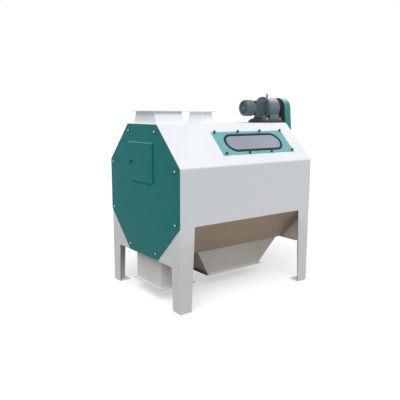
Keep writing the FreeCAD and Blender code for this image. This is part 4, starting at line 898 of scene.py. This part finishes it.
def solids_of(node):
    """The low and high corners of each loose piece of a node."""
    sheet_copy(node, 0)
    bpy.ops.mesh.separate(type="LOOSE")
    boxes = []
    for part in list(bpy.context.selected_objects):
        points = [part.matrix_world @ v.co for v in part.data.vertices]
        boxes.append((Vector(map(min, zip(*points))), Vector(map(max, zip(*points)))))
        bpy.data.objects.remove(part)
    return sorted(boxes, key=lambda pair: tuple(round(c, 4) for c in pair[0]))


# Gear motor

def fan_cowl_skin():
    """Pressed cowl with a rolled rim, and a wire grille with its hub in the end."""
    low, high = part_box("fan_cowl")
    start, end, radius = low[0], high[0], (high[2] - low[2]) / 2
    shell = lathe("cowl", "X", [(end, radius - 0.0006), (end - 0.0012, radius), (start + 0.016, radius),
                                (start + 0.009, radius - 0.0022), (start + 0.004, radius - 0.0062),
                                (start + 0.0012, radius - 0.0125), (start + 0.0008, radius - 0.0160)],
                  MOTOR_Y, MOTOR_Z, 64)
    pick(shell, lambda c, n: abs(n.x) > 0.999)
    bpy.ops.mesh.delete(type="FACE")
    point_outward(shell)
    pieces = [thickened(shell, 0.0016)]
    for i in range(6):
        pieces.append(ring("wire", start + 0.0022, MOTOR_Y, MOTOR_Z, 0.016 + 0.0065 * i, 0.0019, 56, 8))
    for i in range(8):
        bar = slab("bar", start + 0.0026, start + 0.0050, MOTOR_Y - 0.0014, MOTOR_Y + 0.0014, MOTOR_Z + 0.010,
                   MOTOR_Z + radius - 0.014)
        pieces.append(placed(bar, about_motor(45 * i)))
    pieces.append(lathe("hub", "X", [(0.005, 0.0135), (0.0022, 0.0135), (0.0006, 0.0118), (0.0002, 0.0070)],
                        MOTOR_Y, MOTOR_Z, 40, start))
    return join("fan_cowl_skin", pieces)


def motor_barrel():
    """Cast barrel with drafted fins above, below and behind, corner lugs, two pads and a ledge in front, and a seat."""
    low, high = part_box("motor_housing")
    start, end, half = low[0], high[0], (high[2] - low[2]) / 2
    fin_start, fin_end, radius = start + 0.0062, end - 0.004, 0.0538
    barrel = rod("barrel", start + 0.0005, end, radius, MOTOR_Y, MOTOR_Z, 72, "NOTHING")
    pieces = [rounded(thickened(barrel, radius - 0.0382), 0.0008)]
    for i in range(-4, 5):
        offset = 0.010 * i
        root = math.sqrt(radius ** 2 - offset ** 2) - 0.002
        fin = slab("fin", fin_start, fin_end, MOTOR_Y + offset - 0.0016, MOTOR_Y + offset + 0.0016,
                   MOTOR_Z + root, MOTOR_Z + half)
        resized(fin, lambda c, n: n.z > 0.9, (0.985, 0.55, 1), ((start + end) / 2, MOTOR_Y + offset, MOTOR_Z + half))
        rounded(fin, 0.0004, 1)
        pieces += [fin, copy_at(fin, about_motor(180)), copy_at(fin, about_motor(270))]
    for i in range(4):
        lug = slab("lug", fin_start, fin_end, MOTOR_Y + 0.035, MOTOR_Y + 0.057, MOTOR_Z + 0.035, MOTOR_Z + 0.057)
        screw = hex_head("screw", "X", fin_start + 0.0002, MOTOR_Y + 0.0475, MOTOR_Z + 0.0475, 0.0070, 0.0030,
                         0.0052, -1)
        pieces += [placed(piece, about_motor(90 * i)) for piece in (rounded(lug, 0.003, 3), screw)]
    face = MOTOR_Y - half
    pad = slab("pad", fin_start, fin_end, face, face + 0.022, MOTOR_Z - 0.0150, MOTOR_Z + half)
    fold_line(pad, lambda a, b: max(a.y, b.y) < face + 0.001 and min(a.z, b.z) > MOTOR_Z + 0.05, 0.015, 6)
    ledge = slab("ledge", fin_start, fin_end, face - 0.0030, face + 0.012, MOTOR_Z - 0.0262, MOTOR_Z - 0.0195)
    fold_line(ledge, lambda a, b: max(a.y, b.y) < face and min(a.z, b.z) > MOTOR_Z - 0.020, 0.0052, 2)
    lower = slab("lower_pad", fin_start, fin_end, face + 0.0004, face + 0.022, MOTOR_Z - half, MOTOR_Z - 0.0275)
    pieces += [rounded(pad, 0.0016), rounded(ledge, 0.0006, 1), rounded(lower, 0.0016)]
    seat = slab("seat", start + 0.022, end - 0.022, MOTOR_Y + 0.046, MOTOR_Y + 0.0660, MOTOR_Z - 0.024,
                MOTOR_Z + 0.024)
    pieces.append(rounded(seat, 0.0015))
    return join("motor_barrel", pieces)


def terminal_box_skin():
    """Cast box with drafted sides, a lid held by four screws, and a blanked cable entry."""
    low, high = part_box("terminal_box")
    x, y, z = middle(low, high)
    box = slab("box", low[0], high[0], low[1], high[1] - 0.008, low[2], high[2])
    resized(box, lambda c, n: n.y < -0.9, (0.9, 1, 0.88), (x, low[1], z))
    lid = slab("lid", low[0], high[0], high[1] - 0.0072, high[1] - 0.0012, low[2], high[2])
    pick(lid, lambda c, n: n.y > 0.9)
    bpy.ops.mesh.inset(thickness=0.010)
    bpy.ops.mesh.extrude_region_move(TRANSFORM_OT_translate={"value": (0, 0.0012, 0)})
    pieces = [rounded(box, 0.004, 3), rounded(lid, 0.0018, 3)]
    for sx in (-1, 1):
        for sz in (-1, 1):
            pieces.append(lathe("screw", "Y", [(-0.004, 0.0036), (-0.0010, 0.0036), (-0.0002, 0.0026)],
                                x + sx * 0.0415, z + sz * 0.0285, 20, high[1]))
    plug = lathe("plug", "Z", [(0.002, 0.0120), (-0.006, 0.0120), (-0.0085, 0.0105)], x, y, 6, low[2])
    pieces.append(rounded(plug, 0.0006))
    return join("terminal_box_skin", pieces)


def bell_flange():
    """Input bell: turned flange, ribbed neck and a ring of eight screws."""
    low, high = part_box("gearbox_input_flange")
    start, end, radius = low[0], high[0], (high[2] - low[2]) / 2
    body = lathe("bell", "X", [(start, 0.050), (start + 0.0010, 0.0525), (start + 0.0075, 0.0575),
                               (end - 0.0206, radius - 0.006), (end - 0.0190, radius - 0.0015),
                               (end - 0.0172, radius), (end - 0.0115, radius), (end - 0.0105, radius - 0.0012),
                               (end - 0.0095, radius), (end - 0.0012, radius), (end, radius - 0.0012)],
                 MOTOR_Y, MOTOR_Z, 80)
    bore(body, start - 0.01, end + 0.01, 0.0098, 32)
    screw = hex_head("screw", "X", end - 0.0178, MOTOR_Y, MOTOR_Z + radius - 0.010, 0.0100, 0.0044, 0.0078, -1)
    pieces = [body] + ring_of(screw, 8)
    for i in range(8):
        rib = slab("rib", start + 0.001, end - 0.018, MOTOR_Y - 0.002, MOTOR_Y + 0.002, MOTOR_Z + 0.050,
                   MOTOR_Z + 0.086)
        moved(rib, lambda p: p.x < start + 0.01 and p.z > MOTOR_Z + 0.07, (0, 0, -0.026))
        pieces.append(rounded(placed(rib, about_motor(22.5 + 45 * i)), 0.0007))
    return join("bell_flange", pieces)


def gearbox_casting():
    """Barrel, bolted end cover and drafted pedestal, with level and drain plugs behind."""
    base_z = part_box("gearbox_housing")[0][2]
    start, end, radius = GEARBOX_START, GEARBOX_END, GEARBOX_RADIUS
    barrel = lathe("barrel", "X", [(start, radius - 0.001), (start + 0.001, radius), (start + 0.010, radius),
                                   (start + 0.0115, radius - 0.0025), (end - 0.026, radius - 0.0025),
                                   (end - 0.0245, radius), (end - 0.0132, radius), (end - 0.0122, radius - 0.0013),
                                   (end - 0.0112, radius), (end - 0.0095, radius - 0.0008),
                                   (end - 0.0080, radius - 0.0080), (end - 0.0010, radius - 0.0085),
                                   (end, radius - 0.0100)], MOTOR_Y, MOTOR_Z, 80)
    bore(barrel, end - 0.04, end + 0.01, 0.0191, 48)
    bore(barrel, start - 0.01, end - 0.030, radius - 0.012, 64)
    screw = hex_head("screw", "X", end - 0.0002, MOTOR_Y, MOTOR_Z + radius - 0.019, 0.0110, 0.0050, 0.0085)
    pieces = [barrel] + ring_of(screw, 6)
    neck = slab("neck", start + 0.016, end - 0.002, MOTOR_Y - 0.074, MOTOR_Y + 0.074, base_z + 0.010, MOTOR_Z - 0.031)
    resized(neck, lambda c, n: n.z < -0.9, (1.03, 1.05, 1), ((start + end) / 2, MOTOR_Y, base_z + 0.010))
    pieces.append(rounded(neck, 0.004, 3))
    for z in (-0.052, 0.030):
        pieces.append(hex_head("plug", "Y", MOTOR_Y + math.sqrt(radius ** 2 - z ** 2) - 0.004, PLUG_X, MOTOR_Z + z,
                               0.0150, 0.006, 0.0105))
    return join("gearbox_casting", pieces)


def gearbox_foot():
    """Foot plate with rounded corners and the flared saddle that stands under the motor."""
    low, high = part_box("gearbox_housing")
    base_z = low[2]
    foot = slab("foot", low[0], high[0], low[1], high[1], base_z, base_z + 0.014)
    resized(foot, lambda c, n: n.z > 0.9, (0.985, 0.985, 1), ((low[0] + high[0]) / 2, MOTOR_Y, base_z + 0.014))
    fold_line(foot, lambda a, b: abs(a.z - b.z) > 0.01, 0.012, 5)
    saddle = slab("saddle", low[0] + 0.016, SADDLE_END, MOTOR_Y - 0.058, MOTOR_Y + 0.058, base_z + 0.026,
                  MOTOR_Z - 0.0622)
    pick(saddle, lambda c, n: n.z < -0.9)
    bpy.ops.mesh.extrude_region_move(TRANSFORM_OT_translate={"value": (0, 0, -0.0135)})
    bpy.ops.transform.resize(value=(1.13, 1.18, 1), center_override=(SADDLE_END, MOTOR_Y, base_z + 0.0125))
    bore(saddle, BELL_ROOM_START, GEARBOX_START, BELL_ROOM_RADIUS, 64)
    return join("gearbox_foot", [rounded(foot, 0.002, 2), rounded(saddle, 0.003, 3)])


def lifting_eye():
    """Forged eye on its collar."""
    low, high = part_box("eye_bolt")
    x, y, _ = middle(low, high)
    eye = ring("eye", x, y, high[2] - 0.0130, 0.0094, 0.0035, 48, 20)
    resized(eye, lambda p: p.z < high[2] - 0.018, (1.3, 1, 1), (x, y, high[2] - 0.013), pick_points)
    collar = lathe("collar", "Z", [(0, 0.0086), (0.0010, 0.0089), (0.0042, 0.0089), (0.0058, 0.0070),
                                   (0.0078, 0.0056)], x, y, 32, low[2])
    return join("lifting_eye", [eye, collar])


def build_gear_motor():
    for make, material, node in (
            (fan_cowl_skin, COWL, "fan_cowl"), (motor_barrel, MOTOR_ENAMEL_WITH_HIGHLIGHT, "motor_housing"),
            (terminal_box_skin, MOTOR_ENAMEL_WITH_HIGHLIGHT, "terminal_box"), (bell_flange, BELL, "gearbox_input_flange"),
            (gearbox_casting, GEARBOX_WITH_TOP_HIGHLIGHT, "gearbox_housing"), (gearbox_foot, BASE_ENAMEL_WITH_PAINTED_LIGHT, "gearbox_housing")):
        done(make(), material, "motor_paint", node)
    done(lifting_eye(), BLACK_STEEL, "dark_fastener", "eye_bolt")
    bolts = []
    for low, high in solids_of("gearbox_foot_bolts"):
        x, y, _ = middle(low, high)
        seat = high[2] - 0.008
        bolts.append(hex_head("foot_bolt", "Z", seat, x, y, 0.0170, 0.0060, 0.0118, 1, seat - low[2], 0.0058))
    done(join("gearbox_foot_screws", bolts), ZINC, "bright_fastener", "gearbox_foot_bolts")
    for node in ("motor_base_plate", "motor_base_rails"):
        dress(node, DARK, "dark_paint", 0.0014)
    dress("cooling_fan", KNOB, "black_plastic", 0.0005, 1, body="rotor")


# Drum

def punched_screen(name, x0, x1, columns):
    """Rolled sheet with square holes: a grid of faces, each opened by an inset, then given its thickness."""
    piece = rod(name, x0, x1, DRUM_RADIUS, sides=96, fill="NOTHING")
    pick_edges(piece, lambda a, b: abs(a.x - b.x) > 0.1)
    bpy.ops.mesh.subdivide(number_cuts=columns - 1)
    edge = (x1 - x0) / columns
    pick(piece, lambda c, n: x0 + edge < c.x < x1 - edge)
    bpy.ops.mesh.inset(thickness=0.0042, use_individual=True)
    bpy.ops.mesh.delete(type="FACE")
    return thickened(piece, 0.002)


def brush_tufts():
    """Two staggered rows of nylon tufts, made standing up and then tilted to the brush's place round the drum."""
    low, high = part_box("brush_bar")
    x0, x1 = low[0] + 0.006, high[0] - 0.006
    tip, root, row = DRUM_RADIUS + 0.001, DRUM_RADIUS + 0.0425, 0.0062
    first = lathe("tuft", "Z", [(AXIS_Z + root, 0.0030), (AXIS_Z + root - 0.012, 0.0034),
                                (AXIS_Z + tip + 0.002, 0.0048), (AXIS_Z + tip, 0.0042)], x0, 0, 8)
    tufts = [first]
    count = int((x1 - x0) / 0.011)
    for begin, shift, across in ((1, 0.0, 0.0), (0, 0.5, 2 * row)):
        for i in range(begin, count):
            tufts.append(copy_at(first, Matrix.Translation(((i + shift) * (x1 - x0) / count, across, 0))))
    return placed(join("brush_tufts", tufts), about(0, AXIS_Z, -QUARTER / 2) @ Matrix.Translation((0, -row, 0)))


def build_drum():
    for node, columns in (("fine_screen", 24), ("coarse_screen", 12)):
        low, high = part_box(node)
        done(punched_screen(node + "_punched", low[0], high[0], columns), SPANGLE, "screen_steel", node, body="drum")
    dress("drum_spider", CASTING, "grey_casting", 0.0022, 2, 40, body="drum")
    dress("bearing_carrier", CASTING, "grey_casting", 0.0016, 2, 40)
    dress("main_shaft", TURNED, "shaft_steel", body="drum")
    done(brush_tufts(), NYLON, "nylon_bristle", "brush_bristles")
    dress("brush_bar", BEECH, "beech_bar", 0.002)


paint_carried_nodes()
build_housing()
build_ducts()
build_cover()
build_window()
build_guard()
build_gear_motor()
build_drum()


# Studio

def any_ray(tree, *kinds):
    """1 for rays of these kinds and 0 for all others."""
    rays = tree.nodes.new("ShaderNodeLightPath").outputs
    found = rays[kinds[0]]
    for kind in kinds[1:]:
        found = add_node(tree, "Math", "Value", {0: found, 1: rays[kind]}, operation="MAXIMUM")
    return found


def studio_floor():
    """A pale floor, seen lit from within, that gives the machine a warmer and dimmer light from below."""
    clear()
    bpy.ops.mesh.primitive_plane_add(size=60, location=(0, 0, 0))
    floor = bpy.context.object
    floor.name = "studio_floor"
    finish = Finish("studio floor", Base_Color=(0.60, 0.60, 0.60, 1.0), Roughness=0.9, Specular_IOR_Level=0.1)
    reach = finish.add("VectorMath", "Value", {0: finish.place}, operation="LENGTH")
    tint = finish.blend(finish.spread(reach, 0.9, 2.0), (0.30, 0.22, 0.15, 1.0), (0.25, 0.27, 0.30, 1.0))
    bounce = finish.add("BsdfDiffuse", "BSDF", {"Color": tint})
    glow = finish.add("Emission", "Emission", {"Strength": 0.50})
    lit = finish.add("AddShader", "Shader", {0: finish.shader.outputs["BSDF"], 1: glow})
    seen = any_ray(finish.tree, "Is Camera Ray", "Is Glossy Ray")
    surface = finish.add("MixShader", "Shader", {0: seen, 1: bounce, 2: lit})
    finish.tree.links.new(surface, finish.tree.nodes["Material Output"].inputs["Surface"])
    floor.data.materials.append(finish.material)


def studio_air():
    """White to the camera and in reflections, and a cooler, dimmer light on everything else."""
    world = bpy.data.worlds.new("studio air")
    bpy.context.scene.world = world
    world.use_nodes = True
    tree = world.node_tree
    air = tree.nodes["Background"]
    air.inputs["Color"].default_value = (0.90, 0.95, 1.0, 1.0)
    air.inputs["Strength"].default_value = 0.46
    white = add_node(tree, "Background", "Background", {"Color": (1.0, 1.0, 1.0, 1.0), "Strength": 1.0})
    seen = any_ray(tree, "Is Camera Ray", "Is Glossy Ray", "Is Transmission Ray")
    surface = add_node(tree, "MixShader", "Shader", {0: seen, 1: air.outputs["Background"], 2: white})
    tree.links.new(surface, tree.nodes["World Output"].inputs["Surface"])


def sunlight(name, towards, strength, spread):
    """A broad, even lamp far away, in the direction given from the machine."""
    data = bpy.data.lights.new(name, "SUN")
    data.energy = strength
    data.angle = math.radians(spread)
    light = bpy.data.objects.new(name, data)
    light.rotation_euler = Vector(towards).to_track_quat("Z", "Y").to_euler()
    bpy.context.scene.collection.objects.link(light)


def camera():
    """The photograph's view."""
    data = bpy.data.cameras.new("photo view")
    data.sensor_fit = "HORIZONTAL"
    data.sensor_width = SENSOR_MM
    data.lens = FOCAL_PIXELS * SENSOR_MM / FRAME_PIXELS
    data.clip_end = 200
    view = bpy.data.objects.new("photo view", data)
    turn = Matrix.Rotation(math.radians(CAMERA_YAW), 4, "Z")
    tilt = Matrix.Rotation(math.radians(90 - CAMERA_PITCH), 4, "X")
    roll = Matrix.Rotation(math.radians(CAMERA_ROLL), 4, "Z")
    view.matrix_world = Matrix.Translation(CAMERA_PLACE) @ turn @ tilt @ roll
    bpy.context.scene.collection.objects.link(view)
    bpy.context.scene.camera = view


studio_floor()
studio_air()
sunlight("soft key", (-0.42, -0.44, 0.79), 2.1, 45)
sunlight("soft fill", (0.75, -0.5, 0.45), 0.25, 60)
camera()
bpy.context.scene.view_settings.view_transform = "Standard"
